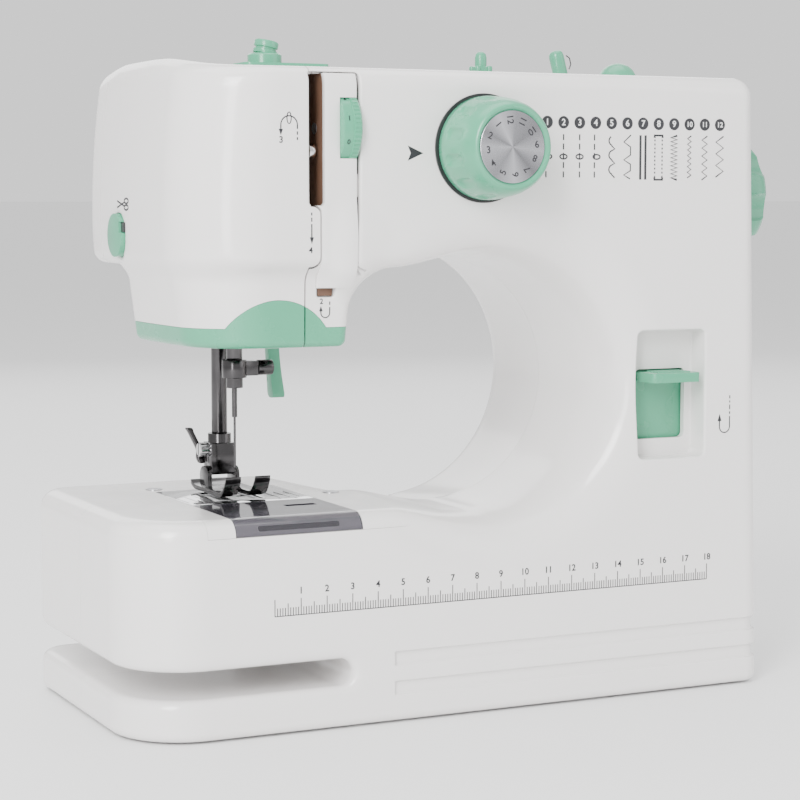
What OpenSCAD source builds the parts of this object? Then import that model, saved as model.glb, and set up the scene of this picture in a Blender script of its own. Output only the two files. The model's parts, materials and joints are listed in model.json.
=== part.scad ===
// Small household sewing machine: two-shell casing with a round throat, free arm and full drive train.
// Machine coordinates: x from the left end of the arm to the right, y from the front face to the rear,
// z up from the table. The part's origin is the bottom centre of its overall box.

/* [Body] */
// Length of the casing at its foot
body_len = 258.5; // [250:0.5:310]
// Depth of the casing, front to rear
depth = 120; // [108:1:144]
// Height of the casing
height = 235.4; // [230:0.1:262]
// How far the right side leans in at the top
lean = 5.5; // [0:0.5:8]
// Wall thickness of the shells
wall = 2.4; // [2:0.1:2.8]
// Height of the rubber feet under the casing
stand = 0.8; // [0.4:0.1:2]
// Depth of the parting seam behind the front face
seam = 60; // [54:1:66]
// Radius of the upper casing corners
crown_r = 12; // [6:1:16]
// Plan radius of the front left corners
nose_r = 28; // [18:1:32]
// Plan radius of the other corners
plan_r = 13; // [8:1:16]

/* [Head] */
// Left side of the head
head_x = 20.5; // [16:0.5:24]
// Underside of the head and the arm
head_z = 165; // [160:0.5:168]
// Left side of the neck
neck_x = 27; // [24:0.5:30]
// Right side of the neck
neck_right = 81; // [80:0.5:84]
// Underside of the neck
neck_z = 137; // [134:0.5:140]
// Front face of the neck
neck_front = 4; // [2:0.5:6]
// Rear face of the neck
neck_back = 86; // [84:0.5:92]
// Right edge of the face cover
cover_x = 63.9; // [60:0.1:66]
// Rear edge of the face cover
cover_y = 96; // [90:1:104]
// Height of the mint band
band_h = 7; // [5:0.5:9]
// Radius of the arch in the band
arch_r = 23; // [18:0.5:24]

/* [Throat] */
// Centre of the throat along the body
throat_x = 143.5; // [140:0.5:148]
// Height of the throat centre
throat_z = 120.3; // [116:0.1:124]
// Radius at the waist of the throat
throat_r = 47.4; // [42:0.1:49]
// Radius at the front face
throat_front_r = 61; // [54:0.5:62]
// Radius at the rear face
throat_rear_r = 52.7; // [50:0.1:56]
// Depth of the front flare
flare = 30; // [16:1:36]

/* [Free arm] */
// Top of the free arm
arm_z = 78; // [76:0.5:80]
// Underside of the free arm
arm_low = 25.5; // [22:0.5:28]
// Top of the base slab
slab_z = 15.5; // [13:0.5:17]
// End of the slot under the arm
slot_x = 82.8; // [70:0.1:90]
// Needle plate width
plate_w = 48.2; // [44:0.1:54]
// Needle plate front edge
plate_y = 43.5; // [42:0.5:45]
// Needle plate rear edge
plate_back = 85; // [80:1:92]
// Bed plate left side
bed_x = 27.3; // [24:0.1:30]
// Bed plate length
bed_w = 79.4; // [74:0.1:84]
// Bed plate thickness
bed_t = 1.2; // [1:0.1:1.4]

/* [Needle and presser] */
// Needle position along the body
needle_x = 60.8; // [59:0.1:62]
// Needle position behind the front face
needle_y = 60; // [58:0.5:62]
// Needle bar diameter
bar_d = 6; // [5:0.5:6.5]
// Presser bar distance behind the needle bar
presser_gap = 16; // [15:0.5:18]
// Height of the needle point at rest
point_z = 86; // [84:0.5:88]
// Stroke radius of the needle crank
crank_r = 14; // [12:0.5:15]
// Presser foot width
foot_w = 17.7; // [15:0.1:19]

/* [Controls] */
// Pattern dial position along the body
dial_x = 134; // [130:0.5:140]
// Pattern dial height
dial_z = 207.5; // [206:0.5:209]
// Pattern dial base radius
dial_r = 19.2; // [16:0.1:21]
// Pattern dial reach in front of the casing
dial_out = 25.5; // [20:0.5:32]
// Handwheel radius
wheel_r = 24; // [20:0.5:28]
// Handwheel outer face beyond the casing foot
wheel_out = 21.5; // [18:0.5:28]
// Tension wheel radius
tension_r = 14; // [12:0.5:15]
// Tension wheel height
tension_z = 214; // [212:0.5:216]
// Reverse recess left side
recess_x = 201.2; // [200:0.1:204]
// Reverse recess width
recess_w = 29.1; // [28:0.1:32]
// Reverse recess bottom
recess_z = 91; // [88:0.5:94]
// Reverse recess height
recess_h = 48.8; // [46:0.1:52]
// Reverse lever travel
reverse_travel = 14; // [10:0.5:15]

/* [Drive] */
// Main shaft diameter
shaft_d = 8; // [7:0.5:9]
// Main shaft height
shaft_z = 190.5; // [189:0.5:192]
// Main shaft behind the front face
shaft_y = 52; // [50:0.5:54]
// Lower shaft height
low_z = 45; // [43:0.5:46]
// Lower shaft behind the front face
low_y = 60; // [59:0.5:61]
// Motor can radius
motor_r = 18; // [15:0.5:19]
// Motor length
motor_len = 50; // [40:1:55]

/* [Fits] */
// Running clearance between a shaft and its bore, on the radius
run = 0.05; // [0.02:0.01:0.08]
// Gap between pieces that move past each other
gap = 0.4; // [0.3:0.05:0.5]

/* [Hidden] */
$fn = 48;
e = 0.01;
org_x = (body_len + wheel_out) / 2;
org_y = (depth - dial_out) / 2;
presser_y = needle_y + presser_gap;
plate_x = needle_x - plate_w / 2 + 1.1;
right_top = body_len - lean;
sweep_r = 17;
hatch_right = body_len - 14.5;
switch_y = 84;
power_y = 30;
pedal_y = 50;
jack_z = 48;
lifter_x = 82.6;
lifter_y = 80;
lifter_z = 176;
case_screws = [[70, 224], [228, 224], [228, 34], [112, 20]];
hook_y = 41;
hook_r = 17;
low_gear_r = 9;
hook_gear_r = low_y - hook_y - low_gear_r - gap;
rear_y = 100;
crank_x = 76;
link_x = 66.9;
link_z = 171;
link_len = sqrt(pow(shaft_z + crank_r - link_z - 8, 2) + pow(needle_y - shaft_y, 2));
// Crank pin angle at rest, from the triangle of shaft, crank pin and link pin
link_dy = needle_y - shaft_y;
link_dz = link_z - shaft_z;
link_d = sqrt(link_dy * link_dy + link_dz * link_dz);
pin_a = atan2(link_dz, link_dy)
    + acos((crank_r * crank_r + link_d * link_d - link_len * link_len) / (2 * crank_r * link_d));
pin_y = shaft_y + crank_r * cos(pin_a);
pin_z = shaft_z + crank_r * sin(pin_a);
take_y = 30;
take_z = 206;
tension_y = 9.1;
cradle_x = needle_x - 7.8;
cradle_z = 222;
motor_y = 88;
motor_z = 40;
motor_x = 150;
belt_x = 204.8;
timing_x = 221.6;
spool_x = 164.4;
winder_x = 203.4;
winder_z = 226;
winder_tilt = -15;
plate_top = arm_z - bed_t;
foot_z = arm_z + 1;
foot_pin_z = foot_z + 6.6;
function side_x(z) = body_len - lean * (z - 5 - stand) / (height - crown_r - 5 - stand);
mint = [0.52, 0.76, 0.68];
white = [0.93, 0.92, 0.91];
steel = [0.7, 0.7, 0.72];
dark = [0.25, 0.25, 0.27];

// ---- helpers ----
module place() translate([-org_x, -org_y, 0]) children();
module along_y(y0, y1) translate([0, y1, 0]) rotate([90, 0, 0]) linear_extrude(y1 - y0) children();
module along_x(x0, x1) translate([x0, 0, 0]) rotate([90, 0, 90]) linear_extrude(x1 - x0) children();
module box(a, b) translate(a) cube([b[0] - a[0], b[1] - a[1], b[2] - a[2]]);
module rod_x(x0, x1, y, z, r) translate([x0, y, z]) rotate([0, 90, 0]) cylinder(h = x1 - x0, r = r);
module rod_y(y0, y1, x, z, r) translate([x, y0, z]) rotate([-90, 0, 0]) cylinder(h = y1 - y0, r = r);
module rod_z(z0, z1, x, y, r) translate([x, y, z0]) cylinder(h = z1 - z0, r = r);
module tube_x(x0, x1, y, z, r, bore) difference() {
    rod_x(x0, x1, y, z, r);
    rod_x(x0 - 1, x1 + 1, y, z, bore);
}
module soft_rect(x0, y0, x1, y1, r) {
    translate([x0 + r, y0]) square([x1 - x0 - 2 * r, y1 - y0]);
    translate([x0, y0 + r]) square([x1 - x0, y1 - y0 - 2 * r]);
    for (x = [x0 + r, x1 - r], y = [y0 + r, y1 - r]) translate([x, y]) circle(r);
}
// Points on an arc, from angle a0 to a1 about (cx, cz)
function arc(cx, cz, r, a0, a1, n = 6) = [for (i = [0:n]) let (a = a0 + (a1 - a0) * i / n)
    [cx + r * cos(a), cz + r * sin(a)]];

// Side outline of the casing, inset by t, with the space between arm and head left open
function outline(t) = concat(
    arc(4, stand + 4, 4 - t, 180, 270),
    arc(body_len - 5, stand + 5, 5 - t, 270, 360),
    arc(right_top - crown_r, height - crown_r, crown_r - t, 0, 90),
    arc(head_x + 4 + crown_r, height - crown_r, crown_r - t, 90, 180),
    arc(head_x + 6, head_z + 6, 6 - t, 180, 270),
    [[throat_x - 8, head_z + t], [throat_x - 8, arm_z - t]],
    arc(7, arm_z - 7, 7 - t, 90, 180),
    arc(5, arm_low + 5, 5 - t, 180, 270),
    arc(slot_x - (arm_low - slab_z) / 2, (arm_low + slab_z) / 2, (arm_low - slab_z) / 2 + t, 90, -90),
    arc(4, slab_z - 4, 4 - t, 90, 180));

// Plan of a casing part with a large front left corner, from x0, inset by t
module plan(x0, y0, x1, y1, front_r, t) {
    translate([x0 + t, y0 + front_r]) square([x1 - x0 - 2 * t, y1 - y0 - front_r - plan_r]);
    translate([x0 + front_r, y0 + t]) square([x1 - x0 - front_r - plan_r, y1 - y0 - 2 * t]);
    translate([x0 + front_r, y0 + front_r]) circle(front_r - t);
    translate([x0 + plan_r, y1 - plan_r]) circle(plan_r - t);
    translate([x1 - plan_r, y1 - plan_r]) circle(plan_r - t);
    translate([x1 - plan_r, y0 + plan_r]) circle(plan_r - t);
    translate([x0 + plan_r, y0 + front_r]) square([x1 - x0 - 2 * plan_r, y1 - y0 - front_r - t]);
    translate([x1 - plan_r - e, y0 + plan_r]) square([plan_r - t + e, y1 - y0 - 2 * plan_r]);
}

// Double-flared throat as a solid of revolution about a front-to-rear axis, grown by t
module throat(t) translate([throat_x, 0, throat_z]) rotate([-90, 0, 0]) rotate_extrude($fn = 96)
    polygon(concat([[0, -1]], [[throat_front_r + t, -1]],
        [for (i = [0:8]) let (a = 90 - i * 90 / 8)
            [throat_front_r + t - (throat_front_r - throat_r) * cos(a), flare * (1 - sin(a))]],
        [[throat_r + t, seam]],
        [[throat_rear_r + t, depth], [throat_rear_r + t, depth + 1], [0, depth + 1]]));

// Neck under the head, with the hollow curve that joins its front half to the arm
module neck(t, low) {
    intersection() {
        along_y(neck_front + t, neck_back - t)
            polygon([[neck_x + t, low], [neck_right - t, low], [neck_right - t, head_z + 4 + t],
                [neck_x + t, head_z + 4 + t]]);
        translate([0, 0, low - 1]) linear_extrude(head_z - low + 8)
            plan(neck_x, neck_front, neck_right + 2 * plan_r, neck_back, nose_r - 4, t);
    }
    along_y(neck_front + t, seam + 6 - t)
        polygon(concat([[neck_right - t - 2, head_z - sweep_r]],
            arc(neck_right + sweep_r, head_z - sweep_r, sweep_r + t, 180, 90),
            [[neck_right + sweep_r, head_z + 4 + t], [neck_right - t - 2, head_z + 4 + t]]));
}
module casing_solid(t) {
    difference() {
        intersection() {
            along_y(t, depth - t) polygon(outline(t));
            union() {
                translate([0, 0, -1]) linear_extrude((head_z + arm_z) / 2 + 1)
                    plan(0, 0, body_len, depth, nose_r, t);
                translate([0, 0, (head_z + arm_z) / 2 - e]) linear_extrude(height)
                    plan(head_x, 0, body_len, depth, nose_r, t);
            }
        }
        throat(t);
    }
    neck(t, t > 0 ? neck_z - 2 : neck_z);
}
module casing() difference() {
    casing_solid(0);
    casing_solid(wall);
    // bottom opening for the cover plate
    translate([0, 0, -1]) linear_extrude(stand + wall + 2) soft_rect(96, 12, hatch_right, depth - 12, 6);
    top_cuts();
}
// Region of the face cover; grow widens it for the cut in the neighbouring shell
module cover_zone(grow) {
    box([0, -5, neck_z - 5], [cover_x + grow, cover_y + grow, head_z + 22]);
    box([0, -5, head_z + 22 - e], [cover_x + 2 + grow, cover_y + grow, height + 5]);
}
module top_cuts() {
    rod_z(height - 8, height + 1, spool_x, seam, 2.15 + run);
    box([winder_x - 7.5, seam - 5, height - 8], [winder_x + 8.5, seam + 5, height + 2]);
}
module recess_box(t) box([recess_x - t, -1, recess_z - t], [recess_x + recess_w + t, 10 + t, recess_z + recess_h + t]);

// ---- casing ----
module front_shell() place() color(white) difference() {
    union() {
        difference() {
            intersection() {
                casing();
                box([-1, -1, -1], [body_len + 1, seam, height + 1]);
            }
            cover_zone(gap);
            strip_slot();
            box([recess_x, -1, recess_z], [recess_x + recess_w, wall + 1, recess_z + recess_h]);
            trim_zone(cover_x - 1, neck_right + 2);
        }
        difference() {
            recess_box(wall);
            recess_box(0);
            box([0, -2, 0], [body_len, e, height]);
            window();
        }
        rod_y(wall - e, 8, dial_x, dial_z, 7);
    }
    rod_y(-1, 9, dial_x, dial_z, 4 + run);
    grooves();
    bed_cut();
    front_side_cuts();
}
module window() box([205, 5, 97.6], [227.3, 20, 124.5]);
module strip_slot() {
    box([64, -1, 186], [85.4, wall + 4, height - 2]);
    box([69.4, -1, 154.5], [85.4, neck_front + wall + 1, 187]);
}
module grooves() for (z = [13.2, 24]) {
    box([99, -1, z - 2.5], [body_len + 1, 0.8, z + 2.5]);
    box([body_len - 0.8, -1, z - 2.5], [body_len + 1, depth + 1, z + 2.5]);
}
module bed_cut() {
    box([bed_x, -1, arm_z - bed_t - gap], [bed_x + bed_w, 112, arm_z + 1]);
    box([plate_x - 1, 6, arm_z - 12], [plate_x + plate_w + 1, plate_back + 2, arm_z + 1]);
    box([bed_x, -1, arm_z - 6.5], [bed_x + bed_w, bed_t + gap, arm_z + 1]);
}
module rear_shell() place() color(white) difference() {
    intersection() {
        casing();
        box([-1, seam, -1], [body_len + 1, depth + 1, height + 1]);
    }
    cover_zone(gap);
    grooves();
    bed_cut();
    side_cuts();
}
// Openings in the right side, and the slot for the presser lifter
module side_cuts() {
    box([body_len - 12, switch_y - 8, jack_z - 6], [body_len + 1, switch_y + 8, jack_z + 6]);
    box([lifter_x - 1, lifter_y - 8, head_z - 5], [lifter_x + 6, lifter_y + 22, head_z + wall + 3]);
    for (p = case_screws) rod_y(depth - 5, depth + 1, p[0], p[1], 3.7);
}
module front_side_cuts() {
    for (y = [power_y, pedal_y]) rod_x(body_len - 12, body_len + 1, y, jack_z, 5.5 + run);
    rod_x(right_top - 8, body_len + 1, shaft_y, shaft_z, shaft_d / 2 + 1);
}
module face_cover() place() color(white) difference() {
    intersection() {
        casing();
        cover_zone(0);
    }
    trim_zone(-1, cover_x + 3);
    rod_x(head_x - 5, head_x + 12, 74, 176, 8.3);
}
module trim_zone(x0, x1) intersection() {
    box([x0, -2, neck_z - 2], [x1, depth, head_z]);
    union() {
        box([-1, -2, neck_z - 5], [120, cover_y, neck_z + band_h]);
        along_y(-2, 40) translate([52.5, neck_z - 6]) circle(arch_r);
    }
}
module neck_trims() place() color(mint) intersection() {
    casing();
    union() {
        intersection() {
            trim_zone(-1, cover_x);
            box([0, 0, 0], [cover_x, cover_y - gap, height]);
        }
        intersection() {
            trim_zone(cover_x + gap, neck_right + 1);
            box([0, 0, 0], [neck_right + 1, seam - e, height]);
        }
    }
}

module guide_strip() place() color(white) difference() {
    union() {
        box([71.7, -0.2, 187], [83.8, wall + 0.06, height - 2.4]);
        box([70.6, -0.2 + neck_front / 2, head_z - 7], [81.8, neck_front + wall, 187 + e]);
        box([72, wall + 0.05, 190], [95, wall + 1.6, 198]);
    }
    rod_x(77, 84.7, tension_y, tension_z, tension_r + gap);
}
module base_plate() place() color(white) translate([0, 0, stand])
    linear_extrude(wall) soft_rect(96 + gap, 12 + gap, hatch_right - gap, depth - 12 - gap, 6 - gap);
module rubber_feet() place() color(dark)
    for (p = [[20, 36], [20, depth - 26], [body_len - 18, 20], [body_len - 18, depth - 20]])
        rod_z(0, stand, p[0], p[1], 7);
module screws() place() color(steel) {
    for (p = [[39.9, 92], [98.2, 55.9]]) difference() {
        rod_z(arm_z - bed_t + 0.2, arm_z + 0.3, p[0], p[1], 3.1);
        box([p[0] - 2.4, p[1] - 0.4, arm_z - 0.4], [p[0] + 2.4, p[1] + 0.4, arm_z + 1]);
    }
    for (p = case_screws) difference() {
        union() {
            rod_y(depth - 3, depth - 0.6, p[0], p[1], 3.5);
            rod_y(rear_y + 3, depth - 3 + e, p[0], p[1], 1.5);
        }
        box([p[0] - 2.4, depth - 1.4, p[1] - 0.4], [p[0] + 2.4, depth, p[1] + 0.4]);
        box([p[0] - 0.4, depth - 1.4, p[1] - 2.4], [p[0] + 0.4, depth, p[1] + 2.4]);
    }
}

// ---- bed ----
module bed_plate() place() color(white) difference() {
    union() {
        box([bed_x + gap, 0, plate_top], [bed_x + bed_w - gap, 111.6, arm_z]);
        box([bed_x + gap, 0, arm_z - 6], [bed_x + bed_w - gap, bed_t, arm_z]);
    }
    box([plate_x - gap, -1, arm_z - 8], [plate_x + plate_w + gap, plate_back + gap, arm_z + 1]);
    for (p = [[39.9, 92], [98.2, 55.9]])
        rod_z(arm_z - bed_t + 0.2, arm_z + 1, p[0], p[1], 3.1);
}
module feed_slots(clear) {
    for (x = [-6.5, 6.5])
        box([needle_x + x - 1.3 - clear, 54 - 2 * clear, 60], [needle_x + x + 1.3 + clear, 74 + 2 * clear, 90]);
    box([needle_x - 1.3 - clear, 65 - 2 * clear, 60], [needle_x + 1.3 + clear, 74 + 2 * clear, 90]);
}
module needle_plate() place() color(steel) difference() {
    box([plate_x, plate_y, plate_top], [plate_x + plate_w, plate_back, arm_z]);
    feed_slots(1);
    box([needle_x - 3.6, needle_y - 1.3, 70], [needle_x + 3.6, needle_y + 1.3, 90]);
}
module bobbin_cover() place() color([0.3, 0.3, 0.33, 0.6]) {
    box([plate_x, 0, arm_z - 1.5], [plate_x + plate_w, plate_y - 0.3, arm_z]);
    box([plate_x, 0, arm_z - 6], [plate_x + plate_w, 1.5, arm_z]);
}
module feed_dog() place() color(steel) {
    intersection() {
        feed_slots(0);
        box([40, 50, plate_top - 4.2], [80, 76, arm_z - 0.4]);
    }
    difference() {
        box([needle_x - 9, 57.2, plate_top - 6.2], [needle_x + 9, 74, plate_top - 4.1]);
        box([needle_x - 4, 57, 60], [needle_x + 4, 63, 90]);
    }
}
module feed_carrier() place() color(steel) {
    box([46, 66, 62], [76, 84, plate_top - 6.4]);
    rod_x(76 - e, 86, 75, 65, 3);
}
module hook() place() color(steel) difference() {
    union() {
        rod_z(55, 69, needle_x, hook_y, hook_r);
        rod_z(33, 55 + e, needle_x, hook_y, 4);
    }
    rod_z(57, 70, needle_x, hook_y, hook_r - 2.4);
    box([needle_x - 30, hook_y + 8, 63], [needle_x - 8, hook_y + 20, 70]);
}
module hook_gear() place() color(dark) difference() {
    rod_z(38, 52, needle_x, hook_y, hook_gear_r);
    rod_z(37, 53, needle_x, hook_y, 4);
}
module bobbin_case() place() color(dark) {
    difference() {
        rod_z(57.4, 71, needle_x, hook_y, hook_r - 2.9);
        rod_z(59, 72, needle_x, hook_y, 11.2);
    }
    rod_z(58, 69, needle_x, hook_y, 2.8);
}
module bobbin() place() color([0.8, 0.85, 0.85]) difference() {
    union() {
        rod_z(59.4, 60.4, needle_x, hook_y, 10.4);
        rod_z(69, 70, needle_x, hook_y, 10.4);
        rod_z(60, 69.5, needle_x, hook_y, 4.2);
    }
    rod_z(59, 71, needle_x, hook_y, 2.8 + run);
}

// ---- drive ----
module shaft_x(x0, x1, y, z) rod_x(x0, x1, y, z, shaft_d / 2);
module lower_shaft() place() color(steel) shaft_x(52, 240, low_y, low_z);
module bored_x(x0, x1, y, z, r) tube_x(x0, x1, y, z, r, shaft_d / 2);
module lower_gear() place() color(dark) bored_x(56, 66, low_y, low_z, low_gear_r);
module lower_pulley() place() color(dark) bored_x(timing_x - 1, timing_x + 8, low_y, low_z, 14);
module upper_pulley() place() color(dark) {
    bored_x(belt_x - 1, belt_x + 7, shaft_y, shaft_z, 17);
    bored_x(timing_x - 1, timing_x + 8, shaft_y, shaft_z, 14);
}
module main_shaft() place() color(steel) shaft_x(crank_x, body_len + 6, shaft_y, shaft_z);
module crank_disc() place() color(steel) {
    bored_x(crank_x, crank_x + 5, shaft_y, shaft_z, crank_r + 2.6);
    rod_x(crank_x - 4.6, crank_x + e, pin_y, pin_z, 2);
}
module handwheel() place() color(mint) difference() {
    rod_x(body_len - 3.3, body_len + wheel_out, shaft_y, shaft_z, wheel_r);
    rod_x(body_len - 4, body_len + 6, shaft_y, shaft_z, shaft_d / 2);
    for (a = [0:45:359]) translate([0, shaft_y, shaft_z]) rotate([a, 0, 0])
        rod_x(body_len + 8, body_len + wheel_out + 1, wheel_r + 3.5, 0, 6);
}
module motor() place() color(dark) difference() {
    union() {
        rod_x(motor_x, motor_x + motor_len, motor_y, motor_z, motor_r);
        rod_x(motor_x - 3, motor_x + e, motor_y, motor_z, 6);
    }
    rod_x(motor_x + motor_len - 12, motor_x + motor_len + 1, motor_y, motor_z, 1.5 + run);
}
module motor_pulley() place() color(steel) {
    rod_x(motor_x + motor_len - 11, belt_x + 9, motor_y, motor_z, 1.5);
    rod_x(belt_x - 1, belt_x + 7, motor_y, motor_z, 6);
}
// Closed belt outline round two pulleys, standing off them by t
function belt(a, ra, b, rb, t) = let (d = norm(b - a), f = atan2(b[1] - a[1], b[0] - a[0]),
    g = acos((ra - rb) / d)) concat(arc(a[0], a[1], ra + t, f + g, f + 360 - g, 14),
    arc(b[0], b[1], rb + t, f - g, f + g, 14));
module belt_loop(x0, x1, a, ra, b, rb) along_x(x0, x1) difference() {
    polygon(belt(a, ra, b, rb, 1.8));
    polygon(belt(a, ra, b, rb, 0.4));
}
module drive_belts() place() color([0.15, 0.15, 0.16]) {
    belt_loop(belt_x, belt_x + 6, [motor_y, motor_z], 6, [shaft_y, shaft_z], 17);
    belt_loop(timing_x, timing_x + 7, [low_y, low_z], 14, [shaft_y, shaft_z], 14);
}
module bearing_holes(r) {
    for (x = [86, 230]) rod_x(x - 1, x + 11, shaft_y, shaft_z, r);
    rod_x(71, 83, low_y, low_z, r);
    rod_x(229, 241, low_y, low_z, r);
}
module chassis() place() color([0.55, 0.56, 0.58]) {
    difference() {
        union() {
            box([72, rear_y, 178], [243, rear_y + 3, 228]);
            box([44, rear_y, head_z + 3.5], [72 + e, rear_y + 3, 228]);
            box([210, rear_y, 6], [243, rear_y + 3, 178 + e]);
            box([100, 16, 6], [243, rear_y + 3, 9]);
            box([40, 22, arm_low + 3.5], [108, rear_y, arm_low + 6.5]);
            box([105, 22, 6], [108, rear_y, arm_low + 6.5]);
            for (x = [86, 230]) box([x, shaft_y - 9, shaft_z - 9], [x + 10, rear_y + e, shaft_z + 9]);
            box([72, low_y - 9, arm_low + 6], [82, low_y + 9, low_z + 9]);
            box([230, low_y - 9, 8], [240, low_y + 9, low_z + 9]);
            box([86.6, 6, shaft_z + 7], [90, shaft_y + 4, tension_z + 4]);
            for (z = [head_z + 3.5, 200])
                box([needle_x - 6, presser_y - 7, z], [needle_x + 6, rear_y + e, z + 5]);
            box([motor_x + 5, motor_y - 14, 8], [motor_x + motor_len - 5, motor_y + 12, motor_z - 8]);
        }
        bearing_holes(6.5);
        rod_z(head_z, 210, needle_x, presser_y, bar_d / 2 + run);
        rod_z(arm_low, arm_low + 10, needle_x, hook_y, 6.5);
        rod_x(motor_x - 5, motor_x + motor_len + 5, motor_y, motor_z, motor_r + e);
        rod_y(rear_y - 1, rear_y + 4, case_screws[0][0], case_screws[0][1], 0.6);
    }
    rod_x(71.5, 86.6 + e, tension_y, tension_z, 2);
    rod_x(66.4, 86.6 + e, take_y, take_z, 2);
    rod_y(needle_y - 6, rear_y + e, cradle_x, cradle_z, 2.5);
    rod_x(lifter_x - 1.4, lifter_x + 8, lifter_y, lifter_z, 1.8);
    box([lifter_x + 6.4, lifter_y - 3, lifter_z - 3], [lifter_x + 9, rear_y + e, lifter_z + 6]);
}
module shaft_bushes() place() color([0.72, 0.6, 0.35]) {
    for (x = [86, 230]) tube_x(x, x + 10, shaft_y, shaft_z, 6.5, shaft_d / 2 + run);
    for (x = [72, 230]) tube_x(x, x + 10, low_y, low_z, 6.5, shaft_d / 2 + run);
    difference() {
        rod_z(arm_low + 3.5, arm_low + 10.5, needle_x, hook_y, 6.5);
        rod_z(arm_low, arm_low + 12, needle_x, hook_y, 4 + run);
    }
}

// ---- needle and presser ----
module needle_cradle() place() color(steel) difference() {
    union() {
        for (z = [neck_z + 2.5, 192]) box([needle_x - 7, needle_y - 5, z], [needle_x + 5.6, needle_y + 5, z + 5]);
        box([cradle_x - 2, needle_y - 4, neck_z + 2.5], [cradle_x + 2, needle_y + 4, cradle_z]);
        rod_y(needle_y - 5, needle_y + 5, cradle_x, cradle_z, 4.4);
    }
    rod_y(needle_y - 7, needle_y + 7, cradle_x, cradle_z, 2.5 + run);
    rod_z(neck_z, 200, needle_x, needle_y, bar_d / 2 + run);
}
module needle_bar() place() color(steel) {
    rod_z(123, 218, needle_x, needle_y, bar_d / 2);
    difference() {
        rod_z(link_z - 4, link_z + 4, needle_x, needle_y, 4.6);
        rod_z(link_z - 5, link_z + 5, needle_x, needle_y, bar_d / 2);
    }
    rod_x(needle_x + bar_d / 2 - 0.4, link_x + 3.3, needle_y, link_z, 1.8);
}
module needle_link() place() color(steel) difference() {
    union() {
        rod_x(link_x, link_x + 3, needle_y, link_z, 4);
        rod_x(link_x, link_x + 3, pin_y, pin_z, 4);
        translate([link_x, needle_y, link_z]) rotate([atan2(pin_z - link_z, pin_y - needle_y), 0, 0])
            translate([0, 0, -2]) cube([3, link_len, 4]);
    }
    rod_x(link_x - 1, link_x + 4, needle_y, link_z, 1.8 + run);
    rod_x(link_x - 1, link_x + 4, pin_y, pin_z, 2 + run);
}
module needle_clamp() place() color(steel) difference() {
    union() {
        rod_z(122.8, 129.5, needle_x, needle_y, 4.6);
        rod_z(119, 122.8 + e, needle_x, needle_y, 3.2);
        box([needle_x, needle_y - 2.6, 123.5], [needle_x + 8.7, needle_y + 2.6, 129]);
    }
    rod_z(123, 131, needle_x, needle_y, bar_d / 2);
    rod_z(118, 124, needle_x, needle_y, 1);
    rod_x(needle_x + 3.4, needle_x + 10, needle_y, 126.3, 1.5);
}
module clamp_screw() place() color(steel) {
    rod_x(needle_x + 3.4, needle_x + 9, needle_y, 126.3, 1.5);
    rod_x(needle_x + 9 - e, needle_x + 15, needle_y, 126.3, 2.9);
}
module needle() place() color(steel) {
    rod_z(point_z + 22, 122.9, needle_x, needle_y, 1);
    rod_z(point_z + 3, point_z + 22 + e, needle_x, needle_y, 0.45);
    translate([needle_x, needle_y, point_z]) cylinder(h = 3 + e, r1 = 0.06, r2 = 0.45);
}
module take_up_lever() place() color(steel) difference() {
    union() {
        rod_x(67.2, 70.8, take_y, take_z, 4.4);
        box([67.8, 6, take_z - 1.6], [70.2, take_y, take_z + 1.6]);
        rod_x(67.8, 70.2, 6.6, take_z, 2.4);
    }
    rod_x(66, 72, take_y, take_z, 2 + run);
    rod_x(66, 72, 6.6, take_z, 1);
}
module presser_bar() place() color(steel) {
    rod_z(foot_pin_z + 4, 208, needle_x, presser_y, bar_d / 2);
    difference() {
        rod_z(head_z + 10, head_z + 13.5, needle_x, presser_y, 5.2);
        rod_z(head_z, head_z + 20, needle_x, presser_y, bar_d / 2);
    }
}
module presser_spring() place() color(steel) difference() {
    rod_z(head_z + 20, 199.9, needle_x, presser_y, 5);
    rod_z(head_z + 19, 201, needle_x, presser_y, 3.8);
}
module presser_lifter() place() color(mint) difference() {
    union() {
        rod_x(lifter_x, lifter_x + 5, lifter_y, lifter_z, 4.6);
        box([lifter_x, lifter_y - 3, 114], [lifter_x + 5, lifter_y + 3, lifter_z]);
        rod_x(lifter_x, lifter_x + 5, lifter_y, 114, 3);
    }
    rod_x(lifter_x - 1, lifter_x + 6, lifter_y, lifter_z, 1.8 + run);
}
module foot_holder() place() color(steel) difference() {
    union() {
        box([needle_x - 4.8, presser_y - 4.5, foot_pin_z], [needle_x + 4.8, presser_y + 4.5, 97]);
        rod_z(96, 100.5, needle_x, presser_y, 4.4);
    }
    rod_z(foot_pin_z + 4, 102, needle_x, presser_y, bar_d / 2);
    rod_x(needle_x - 8, needle_x + 8, presser_y, foot_pin_z, 1.2 + run);
    rod_x(needle_x - 8, needle_x - 3, presser_y, 94.5, 1.5);
}
module foot_screw() place() color(steel) difference() {
    union() {
        rod_x(needle_x - 4.8 - 6, needle_x - 4.8, presser_y, 94.5, 3.5);
        rod_x(needle_x - 5, needle_x - 3, presser_y, 94.5, 1.5);
    }
    box([needle_x - 12, presser_y - 4, 94.1], [needle_x - 9.6, presser_y + 4, 94.9]);
}
module foot_release() place() color([0.45, 0.45, 0.47]) difference() {
    union() {
        box([needle_x - 4, presser_y + 5, foot_z + 9], [needle_x + 4, presser_y + 8, foot_z + 24]);
        rod_x(needle_x - 4, needle_x + 4, presser_y + 7, foot_z + 10.5, 2.2);
    }
    rod_x(needle_x - 6, needle_x + 6, presser_y + 7, foot_z + 10.5, 1);
}
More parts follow.
